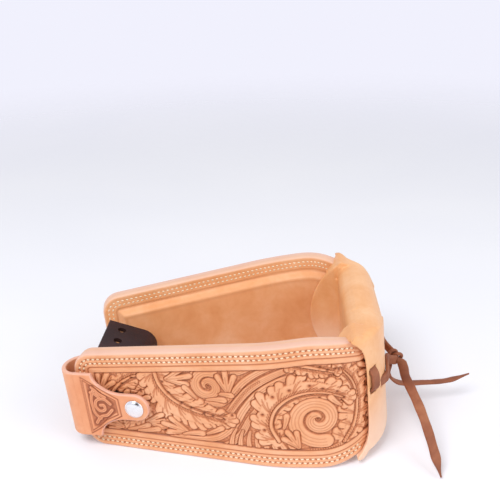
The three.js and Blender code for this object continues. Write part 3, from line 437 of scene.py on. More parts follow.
def joined(name, parts, material, body):
    """One piece from several sets of points and faces."""
    verts, faces, count = [], [], 0
    for v, f in parts:
        verts.append(np.asarray(v).reshape(-1, 3))
        faces += [[k + count for k in face] for face in f]
        count += len(verts[-1])
    return piece(name, np.concatenate(verts), faces, material, body)


def quads(index):
    """Faces between the points of a grid."""
    a, b, c, d = index[:-1, :-1], index[:-1, 1:], index[1:, 1:], index[1:, :-1]
    return np.stack([a, b, c, d], -1).reshape(-1, 4).tolist()


def tube_faces(rings, sides):
    """Faces of a closed tube from its rings of points, with flat ends."""
    index = np.arange(rings * sides).reshape(rings, sides)
    return quads(np.concatenate([index, index[:, :1]], 1)) + [index[0].tolist()[::-1], index[-1].tolist()]


def closed(top, base):
    """Closed shell from two grids. The base may have just its two edge columns."""
    rows, cols = top.shape[:2]
    wide = base.shape[1]
    t = np.arange(rows * cols).reshape(rows, cols)
    b = rows * cols + np.arange(rows * wide).reshape(rows, wide)
    faces = quads(t) + quads(b[:, ::-1])
    for column in (0, -1):
        faces += quads(np.stack([t[:, column], b[:, column]], -1))
    for row in (0, -1):
        if wide == cols:
            faces += quads(np.stack([t[row], b[row]], -1))
        else:
            faces.append(t[row].tolist() + b[row, ::-1].tolist())
    return np.concatenate([top.reshape(-1, 3), base.reshape(-1, 3)]), faces


def across_grid(half, step):
    """Places across a row, from -half to half, close together at the rounded edges."""
    near = np.array([0.0, 0.12, 0.35, 0.7, 1.1, 1.6])
    count = max(3, int(2 * (np.max(half) - 1.6) / step))
    inner = np.linspace(-1, 1, count + 2)[1:-1]
    half = np.asarray(half)[:, None]
    left = -half + near[None] * np.minimum(1, half / 2.2)
    middle = inner[None] * (half - 1.6 * np.minimum(1, half / 2.2))
    return np.concatenate([left, middle, -left[:, ::-1]], 1)


def rows_down(end, step):
    """Places down an arm, close together at its rounded end."""
    return np.concatenate([[0.0, 0.1, 0.3, 0.7, 1.2], np.arange(1.7, end, step), [end]])


def rounded(d, radius):
    """Fall of a rounded edge at a distance d inside it."""
    d = np.clip(d, 0, radius)
    return np.sqrt(np.maximum(radius ** 2 - (radius - d) ** 2, 0)) - radius


def edge_wear_and_sheen(inset, width=1.6, start=0.2, most=0.7):
    """How pale an edge is at an inset from it: partly wear, partly a painted sheen."""
    return most * smooth(-inset, -width, -start)


def apply_all(made):
    """Turn a piece's modifiers into its mesh."""
    bpy.context.view_layer.update()
    baked = bpy.data.meshes.new_from_object(made.evaluated_get(bpy.context.evaluated_depsgraph_get()))
    made.modifiers.clear()
    old = made.data
    made.data = baked
    bpy.data.meshes.remove(old)


def combine(made, tool, operation):
    """Cut a piece with a tool, or keep what both share. Both meshes are closed and welded."""
    bpy.context.view_layer.update()
    change = made.modifiers.new("change", "BOOLEAN")
    change.operation, change.object, change.solver = operation, tool, "MANIFOLD"


def cut_holes(made, holes, sides=48):
    """Holes given as two ends in the stirrup's frame and a radius."""
    for a, b, radius in holes:
        a, b = Vector(world(a)), Vector(world(b))
        tool_mesh = bpy.data.meshes.new("hole_tool")
        work = bmesh.new()
        bmesh.ops.create_cone(work, cap_ends=True, segments=sides, radius1=radius / 1000, radius2=radius / 1000,
                              depth=(b - a).length)
        work.to_mesh(tool_mesh)
        work.free()
        tool = link("hole_tool", tool_mesh)
        tool.matrix_world = Matrix.Translation((a + b) / 2) @ (b - a).to_track_quat("Z", "Y").to_matrix().to_4x4()
        combine(made, tool, "DIFFERENCE")
        apply_all(made)
        bpy.data.objects.remove(tool)


def along_bolt(start, end, radius):
    """A hole on the bolt's line."""
    return [((start, 0, BOLT_HEIGHT), (end, 0, BOLT_HEIGHT), radius)]


def sweep(route, first_side, width, thickness, sides=14):
    """Flat strip with rounded edges along a route in mm, its width carried on without twisting."""
    route = np.asarray(route, float)
    tangent = np.gradient(route, axis=0)
    tangent /= np.linalg.norm(tangent, axis=1)[:, None]
    side = np.asarray(first_side, float)
    around = np.linspace(0, 2 * math.pi, sides, endpoint=False) + math.pi / sides
    shape_a = np.sign(np.cos(around)) * np.abs(np.cos(around)) ** 0.55
    shape_b = np.sign(np.sin(around)) * np.abs(np.sin(around)) ** 0.8
    rings = []
    for i, (p, t) in enumerate(zip(route, tangent)):
        side = side - side.dot(t) * t
        side /= np.linalg.norm(side)
        face = np.cross(t, side)
        rings.append(p + np.outer(shape_a * width[i] / 2, side) + np.outer(shape_b * thickness[i] / 2, face))
    return np.array(rings).reshape(-1, 3), tube_faces(len(rings), sides)


# Free tails of the string, measured from the knot: right, away from the near arm, and up
KNOT_WORLD = world(KNOT) * 1000.0
KNOT_REACH = KNOT_RADIUS * 1.5 + KNOT_TUBE + GAP
LONG_START, LONG_SIDE = np.array([0.75, -0.45, -0.5]), (0.82, 0.04, 0.29)
LONG_TAIL = [[5.4, -8, -4.9], [5.4, -15, -6.4], [7.8, -26, -9.6], [11.2, -37.8, -15], [14.2, -50, -21.8],
             [16.8, -62.6, -30.2], [19.3, -75.4, -40.2]]
SHORT_START, SHORT_SIDE = np.array([-0.45, 0.2, -0.95]), (-0.08, 0.52, 0.85)
SHORT_TAIL = [[-3.6, 2.2, -12.2], [-1.8, 3, -18], [2.3, 3.8, -22.4], [7.9, 4.6, -24.6], [14.5, 5.4, -25],
              [21, 6.4, -25.3], [29, 8, -26], [40, 10, -26], [48.5, 12, -24.6], [55.8, 14, -23]]
ROUTE_STEPS = 26


def tail(name, start, offsets, side, point_from, narrow):
    """A free tail, narrowed along its way, cut to a point and slightly uneven."""
    points = [KNOT_WORLD + start * KNOT_REACH] + [KNOT_WORLD + np.array(o) for o in offsets]
    fine = curve(points, 0.7)
    length = lengths_along(fine)[-1]
    u = np.linspace(0, 1, len(fine))
    pointed = smooth(u, point_from, 1.0)
    width = STRING_WIDTH * (1 - narrow * smooth(u, 0.15, 0.7)) * (1 - 0.80 * pointed) * (1 + 0.035 * np.sin(u * 31.0))
    thick = STRING_THICKNESS * (1 - 0.45 * pointed) * (1 + 0.07 * np.sin(u * 47.0 + 1.0))
    verts, faces = sweep(fine, side, width, thick)
    made = piece(name + "_strip", verts / 1000.0, faces, LACE, "stirrup", (name,), in_world=True)
    route = curve(points, length / ROUTE_STEPS)


tail("string_tail_long", LONG_START, LONG_TAIL, LONG_SIDE, 0.84, 0.06)
tail("string_tail_short", SHORT_START, SHORT_TAIL, SHORT_SIDE, 0.8, 0.22)


def tail_root():
    """The long tail's root, which comes out of the knot's loops and runs 1 mm into the tail."""
    inside = [KNOT_WORLD + LONG_START * KNOT_REACH * k for k in (0.45, 0.72, 1.0)]
    way = curve(inside + [KNOT_WORLD + np.array(LONG_TAIL[0])], 0.4)
    way = way[np.linalg.norm(way - KNOT_WORLD, axis=1) < np.linalg.norm(LONG_START) * KNOT_REACH + 1.0]
    size = np.linspace(0.55, 0.96, len(way))
    verts, faces = sweep(way, LONG_SIDE, STRING_WIDTH * size, STRING_THICKNESS * size)
    piece("string_tail_root", verts / 1000.0, faces, LACE, "stirrup", in_world=True)


tail_root()


# Tooling: heights, and stain with some painted shade, of an arm's face, drawn on a raster of S down the arm by Y across
# it
CELL = 0.2
RASTER_S = np.arange(-1.0, PANEL_END + 2.0, CELL)
RASTER_Y = np.arange(-47.0, 47.0 + CELL, CELL)
GS, GY = np.meshgrid(RASTER_S, RASTER_Y, indexing="ij")
INSET = inset_of(GS, GY)
GROUND, FIELD_INSET, NOTCH_INSET = -1.25, 13.6, 16
LINE_STEP, NICK_PITCH = 0.3, 1.9
relief = np.zeros_like(GS)
stain_and_shade = np.zeros_like(GS)
notches = []


def blur(values, times):
    """Each cell becomes the mean of itself and its four neighbours."""
    for _ in range(times):
        values = (values + np.roll(values, 1, 0) + np.roll(values, -1, 0) + np.roll(values, 1, 1)
                  + np.roll(values, -1, 1)) / 5
    return values


def window(points, reach):
    """The part of the raster within reach of the points."""
    lo, hi = points.min(0) - reach, points.max(0) + reach
    found = []
    for low, high, places in zip(lo, hi, (RASTER_S, RASTER_Y)):
        found.append(slice(max(0, int((low - places[0]) / CELL)), min(len(places), int((high - places[0]) / CELL) + 2)))
    return tuple(found)


def distance(s, y, line):
    """Distance from a line of points, 9 mm at most."""
    d = np.full(np.shape(s), 9.0)
    for a, b in line:
        d = np.minimum(d, np.hypot(s - a, y - b))
    return d


def shape(points, width, top=0.0, hollow=0.0, vein=0.0, crown=0.45, cut=0.45):
    """One carved form: a path with half widths. Domed, with an optional hollow and vein along it."""
    points = np.asarray(points, float)
    width = np.broadcast_to(np.asarray(width, float), (len(points),))
    place = window(points, width.max() + 1.2)
    s, y = GS[place], GY[place]
    if s.size == 0:
        return
    inner = np.full(s.shape, -9.0)
    centre = np.full(s.shape, 9.0)
    for (a, b), w in zip(points, width):
        d = np.hypot(s - a, y - b)
        inner = np.maximum(inner, w - d)
        centre = np.minimum(centre, d)
    inside, ring = inner > 0, (inner <= 0) & (inner > -cut)
    rise = 1 - np.clip(1 - inner / 1.1, 0, 1) ** 2
    height = GROUND * crown * (1 - rise) + top
    height = height - hollow * groove(centre, 0.9) - vein * groove(centre, 0.32)
    part, colour = relief[place], stain_and_shade[place]
    part[ring] = np.minimum(part[ring], GROUND - 0.1)
    part[inside] = height[inside]
    colour[ring] = 0.86
    # The low, sloping sides of each form are darkened: partly antique stain, partly painted shade
    colour[inside] = np.maximum(0.28 * (1 - rise), 0.5 * vein * groove(centre, 0.35))[inside]


def score(line, width=0.35, depth=0.5, stained=0.75):
    """A cut along a fine line of points."""
    line = np.asarray(line, float)
    place = window(line, 1.2)
    g = groove(distance(GS[place], GY[place], line), width)
    relief[place] -= depth * g
    stain_and_shade[place] = np.maximum(stain_and_shade[place], stained * g)


def beside(line, offset):
    """A line moved sideways."""
    ahead = np.gradient(line, axis=0)
    ahead /= np.maximum(np.linalg.norm(ahead, axis=1), 1e-9)[:, None]
    return line + np.stack([-ahead[:, 1], ahead[:, 0]], -1) * np.asarray(offset, float).reshape(-1, 1)


def headings(line):
    """The angle at which a line runs, at each of its points."""
    return np.arctan2(*np.gradient(line, axis=0).T[::-1])


def way_of(base, angle, length, curl):
    """A curling line of points from a base."""
    n = max(6, int(length / 0.35))
    heading = angle + curl * np.linspace(0, 1, n)
    return np.array(base) + np.cumsum(np.stack([np.cos(heading), np.sin(heading)], -1) * length / (n - 1), 0)


def stem(points, widths, lines=1):
    """A flowing stem, scored with lines that run along it."""
    line = curve(points, LINE_STEP)
    width = np.interp(np.linspace(0, 1, len(line)), np.linspace(0, 1, len(widths)), widths)
    shape(line, width)
    for k in range(lines):
        part = (k + 1) / (lines + 1) * 2 - 1
        score(beside(line, width * part * 0.92)[3:-5], 0.24, 0.34, 0.62)


def finger(base, angle, length, width, curl=0.0, top=0.0):
    """One finger of a leaf, round at its tip, with a scored vein."""
    points = way_of(base, angle, length, curl)
    t = np.linspace(0, 1, len(points))
    shape(points, width * (0.42 + 0.58 * t) * np.minimum(1, 0.35 + 9 * (1 - t)) ** 0.5, top, hollow=0.22, cut=0.38)
    score(points[: int(len(points) * 0.8)], 0.24, 0.30, 0.6)


def lobe(base, angle, length, width, curl=0.0, top=0.0):
    """A leaf's lobe: one broad form with a scalloped end, hollowed and scored, and a pierced notch beside it."""
    if length < 4.0:
        return finger(base, angle, length, width * 0.7, curl, top)
    fan = ((-0.42, 0.84), (0.0, 1.0), (0.42, 0.84))
    paths = [way_of(base, angle + turn, length * reach, curl) for turn, reach in fan]
    t = [np.linspace(0, 1, len(path)) for path in paths]
    widths = [width * (0.55 + 0.33 * k) * np.minimum(1, 0.45 + 8 * (1 - k)) ** 0.5 for k in t]
    shape(np.concatenate(paths), np.concatenate(widths), top, crown=0.62, cut=0.50)
    for path in paths:
        score(path[: int(len(path) * 0.72)], 0.26, 0.34, 0.7)
    for turn in (-0.21, 0.21):
        path = way_of(base, angle + turn, length * 0.98, curl)
        score(path[int(len(path) * 0.45):], 0.34, 0.50, 0.9)
    side = 1 if curl > 0 else -1
    notches.append(way_of(base, angle + side * 0.52, length * 0.80, curl)[-1])


def leaf(spine, reach, count, side_ratio=(1.0, 0.75), spread=1.05, width=1.9, curl=0.5):
    """Acanthus leaf: overlapping lobes along both sides of a spine, then its body, veins and midrib."""
    line = curve(spine, LINE_STEP)
    heading = headings(line)
    total = len(line) - 1
    veins = []
    for k in range(count):
        t = 0.03 + 0.90 * k / (count - 1)
        i = int(t * total)
        size = reach * (0.50 + 0.50 * math.sin(math.pi * min(1.0, 0.12 + 0.95 * t))) * (1 + 0.08 * (-1) ** k)
        for sign, ratio in zip((1, -1), side_ratio):
            base, angle, length = line[i], heading[i] + sign * spread * (1.0 - 0.42 * t), size * ratio
            lobe(base, angle, length, width * (0.9 + 0.3 * ratio), -sign * curl, -0.05 * (k % 2))
            for turn, part in ((0.0, 0.80), (-0.17, 0.60), (0.17, 0.60)):
                veins.append(way_of(base, angle + turn, length * part, -sign * curl))
    lobe(line[-2], heading[-1], reach * 0.55, width, 0.2)
    # The leaf's body joins the lobes, and a vein runs over it from the midrib to each of them
    along = np.linspace(0, 1, len(line))
    body = 0.60 * reach * (0.35 + 0.65 * np.sin(math.pi * np.minimum(1, 0.10 + 0.88 * along)))
    middle = beside(line, body * (side_ratio[0] - side_ratio[1]) / 2)
    shape(middle, body * sum(side_ratio) / 2, -0.06, crown=0.16, cut=0.0)
    for vein in veins:
        score(vein[len(vein) // 4:], 0.30, 0.46, 0.78)
    for k in range(int(total * LINE_STEP / NICK_PITCH)):
        i = int((k + 0.5) * NICK_PITCH / LINE_STEP)
        for sign in (1, -1):
            score(way_of(line[i], heading[i] + sign * 0.72, 5.2, -sign * 0.4)[3:], 0.32, 0.62, 1.0)
    shape(line, np.interp(along, [0, 0.5, 1], [1.25, 0.9, 0.45]), 0.06, crown=0.3, cut=0.42)


def stain_and_shade_spot(place, radius, depth=0.0):
    """A round dark spot, pressed in by a depth: stain, and at the leaves' notches painted shade as well."""
    cells = window(np.array([place]), 2 * radius)
    g = groove(np.hypot(GS[cells] - place[0], GY[cells] - place[1]), radius)
    stain_and_shade[cells] = np.maximum(stain_and_shade[cells], g)
    relief[cells] -= depth * g


def spiral(eye, radius, turns, start, hand, power=1.25):
    """Scroll that opens out of an eye, its band scored along and as broad as its turns allow."""
    n = int(turns * 2 * math.pi * radius * 0.55 / 0.28)
    t = np.linspace(0, 1, n)
    angle = start + hand * turns * 2 * math.pi * t
    r = 1.5 + (radius - 1.5) * t ** power
    line = np.stack([eye[0] + r * np.cos(angle), eye[1] + r * np.sin(angle)], -1)
    pitch = (radius - 1.5) * power * np.maximum(t, 0.04) ** (power - 1) / turns
    width = 0.43 * pitch * np.minimum(1, 0.45 + 3 * t)
    shape(line[::-1], width[::-1], 0.02, crown=0.55, cut=0.42)
    for part in (-0.55, -0.1, 0.38):
        inner = t > 0.12 + 0.16 * abs(part)
        score(beside(line, hand * part * width)[inner], 0.24, 0.36, 0.65)
    shape(np.array([eye]), np.array([1.25]), -0.05, cut=0.5)
    shape(np.array([eye]), np.array([0.4]), -0.95)
    stain_and_shade_spot(eye, 0.5)


def beads(points, size=0.5, pitch=1.5):
    """A row of round tool marks."""
    for p in curve(points, pitch):
        stain_and_shade_spot(p, size, 0.55)


def chevrons(points, size=1.3, pitch=1.5):
    """A row of V tool marks."""
    line = curve(points, pitch)
    for p, a in zip(line[:-1], headings(line)[:-1]):
        for sign in (1, -1):
            tip = p + size * np.array([math.cos(a + sign * 2.3), math.sin(a + sign * 2.3)])
            score(np.linspace(p, tip, 8), 0.25, 0.5, 0.9)


def open_ground(every):
    """How many cells deep each place of bare ground lies in it, on a coarser raster, and 0 elsewhere."""
    free = (relief[::every, ::every] < GROUND + 0.28) & (INSET[::every, ::every] > 14.2)
    room, kept = np.zeros(free.shape), free.copy()
    while kept.any():
        room += kept
        kept = kept & np.roll(kept, 1, 0) & np.roll(kept, -1, 0) & np.roll(kept, 1, 1) & np.roll(kept, -1, 1)
    return room


def longest_way(room, centre, every):
    """Length, angle and part behind the centre of the longest straight way in the open ground."""
    best = (0, 0, 0)
    for angle in np.linspace(0, math.pi, 12, endpoint=False) + rng.uniform(0, 0.2):
        way = np.array([math.cos(angle), math.sin(angle)])
        reach = [0, 0]
        for k, sign in enumerate((1, -1)):
            while reach[k] < 9:
                p = centre + sign * (reach[k] + 1) * way
                a, b = int((p[0] - RASTER_S[0]) / CELL / every), int((p[1] - RASTER_Y[0]) / CELL / every)
                if not (0 <= a < room.shape[0] and 0 <= b < room.shape[1]) or room[a, b] < 1:
                    break
                reach[k] += 1
        if sum(reach) > best[0]:
            best = (sum(reach), angle, reach[1])
    return best


def fill_ground(least, every=5, most=200):
    """Put small lobes in the open ground, the widest places first, each laid where it has most room."""
    for _ in range(most):
        room = open_ground(every)
        i, j = np.unravel_index(np.argmax(room), room.shape)
        if room[i, j] < least:
            break
        centre = np.array([RASTER_S[i * every], RASTER_Y[j * every]])
        length, angle, back = longest_way(room, centre, every)
        if length < 2:
            # Too tight for a lobe, so it is raised enough to count as filled
            relief[max(0, i * every - 6):i * every + 7, max(0, j * every - 6):j * every + 7] += 0.29
            continue
        laid = lobe if room[i, j] > 3 else finger
        base = centre - np.array([math.cos(angle), math.sin(angle)]) * back
        laid(base, angle, length, min(2.3, room[i, j] * 0.62 + 0.35), rng.uniform(-0.35, 0.35), -0.08)


def stitch_places(row, inset, end):
    """Middles and directions of a row of stitches, down one edge, round the top and up the other."""
    s = np.concatenate([np.linspace(end, 16, 400), np.linspace(16, inset, 160)[1:]])
    half = half_at(s, inset)
    line = np.concatenate([np.stack([s, -half], -1), np.stack([s, half], -1)[::-1]])
    length = lengths_along(line)
    u = np.arange(2.0 + 1.7 * row, length[-1] - 2, STITCH_PITCH)
    places, ahead = (np.stack([np.interp(v, length, line[:, k]) for k in (0, 1)], -1) for v in (u, u + 0.3))
    turn = np.arctan2(*(ahead - places).T[::-1]) + 0.20 * (1 if row else -1)
    return places, np.stack([np.cos(turn), np.sin(turn)], -1)


COVER_STITCH_END = CORNER_START + 27


def fan_of_leaves():
    """Leaves that open under the snap strap."""
    for k in range(8):
        finger((50.0, 8.0), math.radians(78 + 15 * k), 21 + 3 * (k % 2), 2.0, 0.5 if k < 4 else -0.3)
    leaf([(46, -4), (38, -9), (30, -11), (20, -9)], 10.5, 5, (0.9, 0.9), 1.1, 2.3, 0.4)
    leaf([(22, 4), (28, 12), (38, 19), (48, 22)], 9.0, 5, (0.9, 0.9), 1.1, 2.2, 0.4)


def border_stems():
    """Stems that run along the lower border and rise between the two scrolls, with fingers beside them."""
    stem([(44, -16), (58, -22), (76, -25), (92, -22.5), (103, -13), (111, 0), (121, 12), (135, 21), (152, 25)],
         [1.0, 2.0, 2.3, 2.4, 2.1, 1.4], 2)
    stem([(38, -24), (58, -28.5), (80, -30.5), (97, -28), (107, -19), (114, -7), (122, 3), (131, 10)],
         [0.8, 1.9, 2.3, 2.1, 1.3], 3)
    stem([(90, -9), (100, -4), (107, 5), (116, 15), (128, 23), (144, 29), (160, 29)], [1.6, 2.4, 2.5, 2.3, 1.7, 1.0], 3)
    stem([(86, 3), (97, 3), (105, 11), (113, 20), (125, 28), (140, 33)], [1.4, 2.1, 2.2, 1.9, 1.0], 2)
    stem([(80, 24), (88, 29.5), (98, 30), (107, 26), (116, 29), (126, 33)], [1.3, 2.0, 2.1, 1.8, 1.0], 2)
    for k in range(8):
        finger((104.5 + 4.4 * k, -15.0 - 0.6 * k), math.radians(-124 + 6 * k), 15 - 0.5 * k, 1.9, 0.55)
    for k in range(6):
        finger((60.0 + 5.6 * k, 27.0 - 0.3 * k), math.radians(35 + 14 * k), 7.5, 1.7, -0.4)


def first_scroll():
    """The scroll by the snap, with the leaf that hangs from it."""
    leaf([(55, 25), (57, 15), (64, 5), (75, -2), (87, -6), (96, -8)], 16.5, 7, (0.72, 1.0), 1.2, 2.9, 0.5)
    spiral((89.5, 15.5), 10.5, 1.45, math.radians(230), -1, 1.2)
    beads([(98, 0.5), (104, 8.0), (110, 15)])
    chevrons([(97, -5), (103, 0), (109, 8), (116, 16), (124, 22)])


def second_scroll():
    """The large scroll, with a leaf curled round it and one that stands at the tread."""
    stem([(122, -30), (136, -31.5), (152, -32), (167, -30), (178, -22), (184, -10)], [1.0, 2.0, 2.2, 2.2, 2.0, 1.3], 3)
    leaf([(172, -27), (180, -16), (183, 0), (180, 14), (172, 26)], 12.5, 7, (1.0, 0.9), 1.15, 2.7, -0.4)
    leaf([(131, -23), (127, -12), (130, -1), (138, 7), (149, 11), (162, 10.5), (173, 5)], 15.5, 8, (1.0, 0.42), 1.25,
         2.9, 0.5)
    spiral((156.0, -8.0), 16.8, 1.75, math.radians(15), 1, 1.3)
    leaf([(140, 33), (150, 30), (160, 27), (168, 24)], 7.5, 5, (0.9, 0.9), 1.1, 2.0, 0.3)
    beads([(149, 20), (156, 19.5), (163, 17)])
    chevrons([(150, -30), (162, -30), (172, -26), (179, -17)], 1.5, 1.6)


def press_line(inset, width, depth, stained):
    """A line pressed all round the face at an inset from its edge."""
    global relief, stain_and_shade
    line = groove(INSET - inset, width)
    relief = relief - depth * line
    stain_and_shade = np.maximum(stain_and_shade, stained * line)


def draw_face():
    global relief, stain_and_shade
    field = INSET > FIELD_INSET
    grain = blur(rng.normal(0, 1, GS.shape), 2)
    grain = grain / grain.std()
    relief = np.where(field, GROUND + 0.10 * grain, 0.0)
    stain_and_shade = np.where(field, np.clip(0.45 + 0.14 * grain, 0, 1), 0.0)
    for group in (fan_of_leaves, border_stems, first_scroll, second_scroll):
        group()
    fill_ground(3)
    # Dark spots pressed in at the lobes' notches: stain, and painted shade of deep notches
    for place in notches[::2]:
        if inset_of(*place) > NOTCH_INSET:
            stain_and_shade_spot(place, 1.2, 1.0)

    # Keep the carving to its field and work the border: a bevelled strip, a crease and two rows of stitches
    kept = smooth(INSET, 13.5, 14.1) * (1 - smooth(GS, CORNER_START + 38, CORNER_START + 44))
    relief, stain_and_shade = relief * kept, stain_and_shade * kept
    press_line(13.9, 0.42, 0.35, 1.0)
    press_line(9.8, 0.42, 0.55, 0.75)
    for row, inset in enumerate(STITCH_ROWS):
        press_line(inset, 0.8, 0.40, 0.30)
        for p, way in zip(*stitch_places(row, inset, COVER_STITCH_END)):
            for sign in (1, -1):
                stain_and_shade_spot(p + sign * (STITCH_HALF + 0.28) * way, 0.52, 0.30)
    relief = blur(relief, 1)
    stain_and_shade = np.clip(blur(stain_and_shade, 1), 0, 1)


draw_face()


def sample(field, s, y):
    """A raster's values at places on the face, eased between its cells."""
    a = np.clip((s - RASTER_S[0]) / CELL, 0, len(RASTER_S) - 1.001)
    b = np.clip((y - RASTER_Y[0]) / CELL, 0, len(RASTER_Y) - 1.001)
    i, j = a.astype(int), b.astype(int)
    u, v = a - i, b - j
    return ((field[i, j] * (1 - u) + field[i + 1, j] * u) * (1 - v)
            + (field[i, j + 1] * (1 - u) + field[i + 1, j + 1] * u) * v)


# Covers: carved faces over the arms, with a hole for the nut or for the bolt's head
BOLT_FACE = slant(0)
SEAT = slant(CORE_TOP) - BOLT_SEAT_DEPTH
HOLE_BEYOND, NUT_HOLE_RADIUS, HEAD_HOLE_RADIUS = 15, 8.4, 9.3


def face_grid(end, step):
    """Places on an arm's face down to an end: S, Y and the inset from its edge."""
    s = rows_down(end, step)
    y = across_grid(half_at(s), step)
    s = np.broadcast_to(s[:, None], y.shape)
    return s, y, inset_of(s, y)


def cover(side, name, hole_radius):
    s, y, inset = face_grid(PANEL_END, 0.42)
    n = sample(relief, s, y) + rounded(inset, 1.5) - skived(s)
    base = on_arm(side, s[:, :2], y[:, [0, -1]], -COVER - 0.26)
    verts, faces = closed(on_arm(side, s, y, n), base)
    pad = np.zeros(base.shape[0] * 2)
    marks = {"cut": np.r_[sample(stain_and_shade, s, y).ravel(), pad], "edge": np.r_[edge_wear_and_sheen(inset).ravel(), pad + 0.6]}
    made = piece(name + "_carved", verts, faces, TOOLED, "stirrup", (name,), marks)
    cut_holes(made, along_bolt(side * SEAT, side * (BOLT_FACE + HOLE_BEYOND), hole_radius))


cover(1, "near_cover", NUT_HOLE_RADIUS)
cover(-1, "far_cover", HEAD_HOLE_RADIUS)


# Linings: a flat stitched border, then a moulded step up over the wooden core
def lining(side, name):
    s, y, inset = face_grid(LINING_END, 1.15)
    lift = smooth(inset, 10.2, 15.6)
    lift = lift * lift * (3 - 2 * lift) * 0.5 + lift * 0.5
    dent = groove(inset - 10.0, 0.7)
    n = BORDER_BOTTOM + (BULGE_BOTTOM - BORDER_BOTTOM) * lift - rounded(inset, 1.5) + 0.35 * dent
    for row in STITCH_ROWS:
        n = n + 0.32 * groove(inset - row, 0.75)
    back = CORE_TOP + 0.02 - (CORE + 0.25) * smooth(inset, 13.4, 15.0)
    verts, faces = closed(on_arm(side, s, y, n), on_arm(side, s, y, back))
    cut = np.clip(0.55 * dent + 0.25 * groove(inset - 16.2, 1.2), 0, 1).ravel()
    marks = {"cut": np.r_[cut, 0 * cut], "edge": np.r_[edge_wear_and_sheen(inset).ravel(), 0 * cut + 0.5]}
    made = piece(name + "_moulded", verts, faces, PLAIN, "stirrup", (name,), marks)
    cut_holes(made, along_bolt(side * (BOLT_FACE - 26), side * (BOLT_FACE + 4), BOLT_DIAMETER / 2 + GAP), 32)


lining(1, "near_lining")
lining(-1, "far_lining")


# Stitches: two rows round every border, on the covers and on the linings
STITCH_RINGS, STITCH_SIDES, STITCH_RADIUS = 7, 8, 0.50


def stitch_rows(side, level, end, outward):
    """Stitches as short tubes whose ends sink into the leather. Outward is 1 on a cover and -1 on a lining."""
    parts = []
    t = np.linspace(-1, 1, STITCH_RINGS)
    angle = np.linspace(0, 2 * math.pi, STITCH_SIDES, endpoint=False)
    thick = (STITCH_RADIUS * np.sqrt(np.maximum(1 - np.abs(t) ** 3.0, 0.03)))[:, None]
    along = (STITCH_HALF * t)[:, None]
    sink = -0.42 * np.abs(t[:, None]) ** 3
    for row, inset in enumerate(STITCH_ROWS):
        for (a, b), (da, db) in zip(*stitch_places(row, inset, end)):
            s = a + along * da - (thick * np.cos(angle)) * db
            y = b + along * db + (thick * np.cos(angle)) * da
            n = level + outward * (thick * np.sin(angle) * 0.8 + 0.02 + sink) - (skived(a) if outward > 0 else 0)
            parts.append((on_arm(side, s, y, n), tube_faces(STITCH_RINGS, STITCH_SIDES)))
    return parts


for side, word in ((1, "near"), (-1, "far")):
    parts = stitch_rows(side, -0.34, COVER_STITCH_END, 1) + stitch_rows(side, BORDER_BOTTOM + 0.26, LINING_END - 12, -1)
    joined(word + "_stitching", parts, THREAD, "stirrup")


def band(points, normals, across, halves, thickness, columns=26, soft=0.8, open_end=False):
    """A strip bent along a path of points and outward normals, with rounded edges. An open end isn't rounded."""
    halves = np.broadcast_to(np.asarray(halves, float), (len(points),))
    near = np.array([0.0, 0.1, 0.3, 0.6, 1.0])
    inner = np.linspace(-1, 1, columns)
    halves = halves[:, None]
    y = np.concatenate([-halves + near, inner * (halves - 1.5), halves - near[::-1]], 1)
    length = lengths_along(points)
    ends = length if open_end else np.minimum(length, length[-1] - length)
    inset = np.minimum(halves - np.abs(y), ends[:, None])
    lift = (thickness / 2 + rounded(inset, soft))[..., None] * normals[:, None]
    middle = points[:, None] + y[..., None] * np.asarray(across, float)
    verts, faces = closed(middle + lift, middle - lift)
    edge = edge_wear_and_sheen(inset, 1.0, 0.1, 0.8).ravel()
    return verts, faces, {"edge": np.r_[edge, edge], "cut": np.zeros(2 * edge.size)}


# Snap strap: foot on the near lining, bend past the end of the arm, then the shaped flap
STRAP_IN = BULGE_BOTTOM - GAP - STRAP_THICKNESS
FLAP_IN = STUD_BASE - STUD_SINK + GAP + SOCKET_HEIGHT + GAP
FLAP_OUT = FLAP_IN + STRAP_THICKNESS
STRAP_FOOT = BOLT_DROP / math.cos(FLARE) + STRAP_FOOT_BELOW_BOLT
SNAP_REACH = FLAP_REACH - TONGUE_WIDTH / 2


def bent_strap():
    radius = (FLAP_OUT - STRAP_IN) / 2 - STRAP_THICKNESS / 2
    foot = np.r_[np.linspace(STRAP_FOOT, STRAP_FOOT - 1.2, 6), np.linspace(STRAP_FOOT - 1.2, STRAP_BEND_DROP, 36)[1:]]
    turn = np.linspace(0, math.pi, 44)[1:]
    s = np.r_[foot, STRAP_BEND_DROP - radius * np.sin(turn)]
    n = np.r_[foot * 0 + STRAP_IN + STRAP_THICKNESS / 2, (STRAP_IN + FLAP_OUT) / 2 - radius * np.cos(turn)]
    on_foot = np.arange(len(s)) < len(foot)
    halves = (STRAP_WIDTH + (STRAP_FOOT_WIDTH - STRAP_WIDTH) * smooth(s, BORDER, STRAP_FOOT) * on_foot) / 2
    halves = halves - 3.0 * smooth(foot[0] - s, 1.5, 0.0) * on_foot
    normals = np.r_[foot * 0, -np.sin(turn)][:, None] * DOWN + np.r_[foot * 0 - 1.0, -np.cos(turn)][:, None] * OUT
    verts, faces, marks = band(arm_point(s, 0, n), normals, (0, 1, 0), halves, STRAP_THICKNESS, open_end=True)
    marks["edge"] *= 0.8
    made = piece("snap_strap_bent", verts, faces, STRAP_LEATHER, "stirrup", ("snap_strap",), marks)
    cut_holes(made, along_bolt(BOLT_FACE - 26, BOLT_FACE - 8, BOLT_DIAMETER / 2 + GAP), 32)


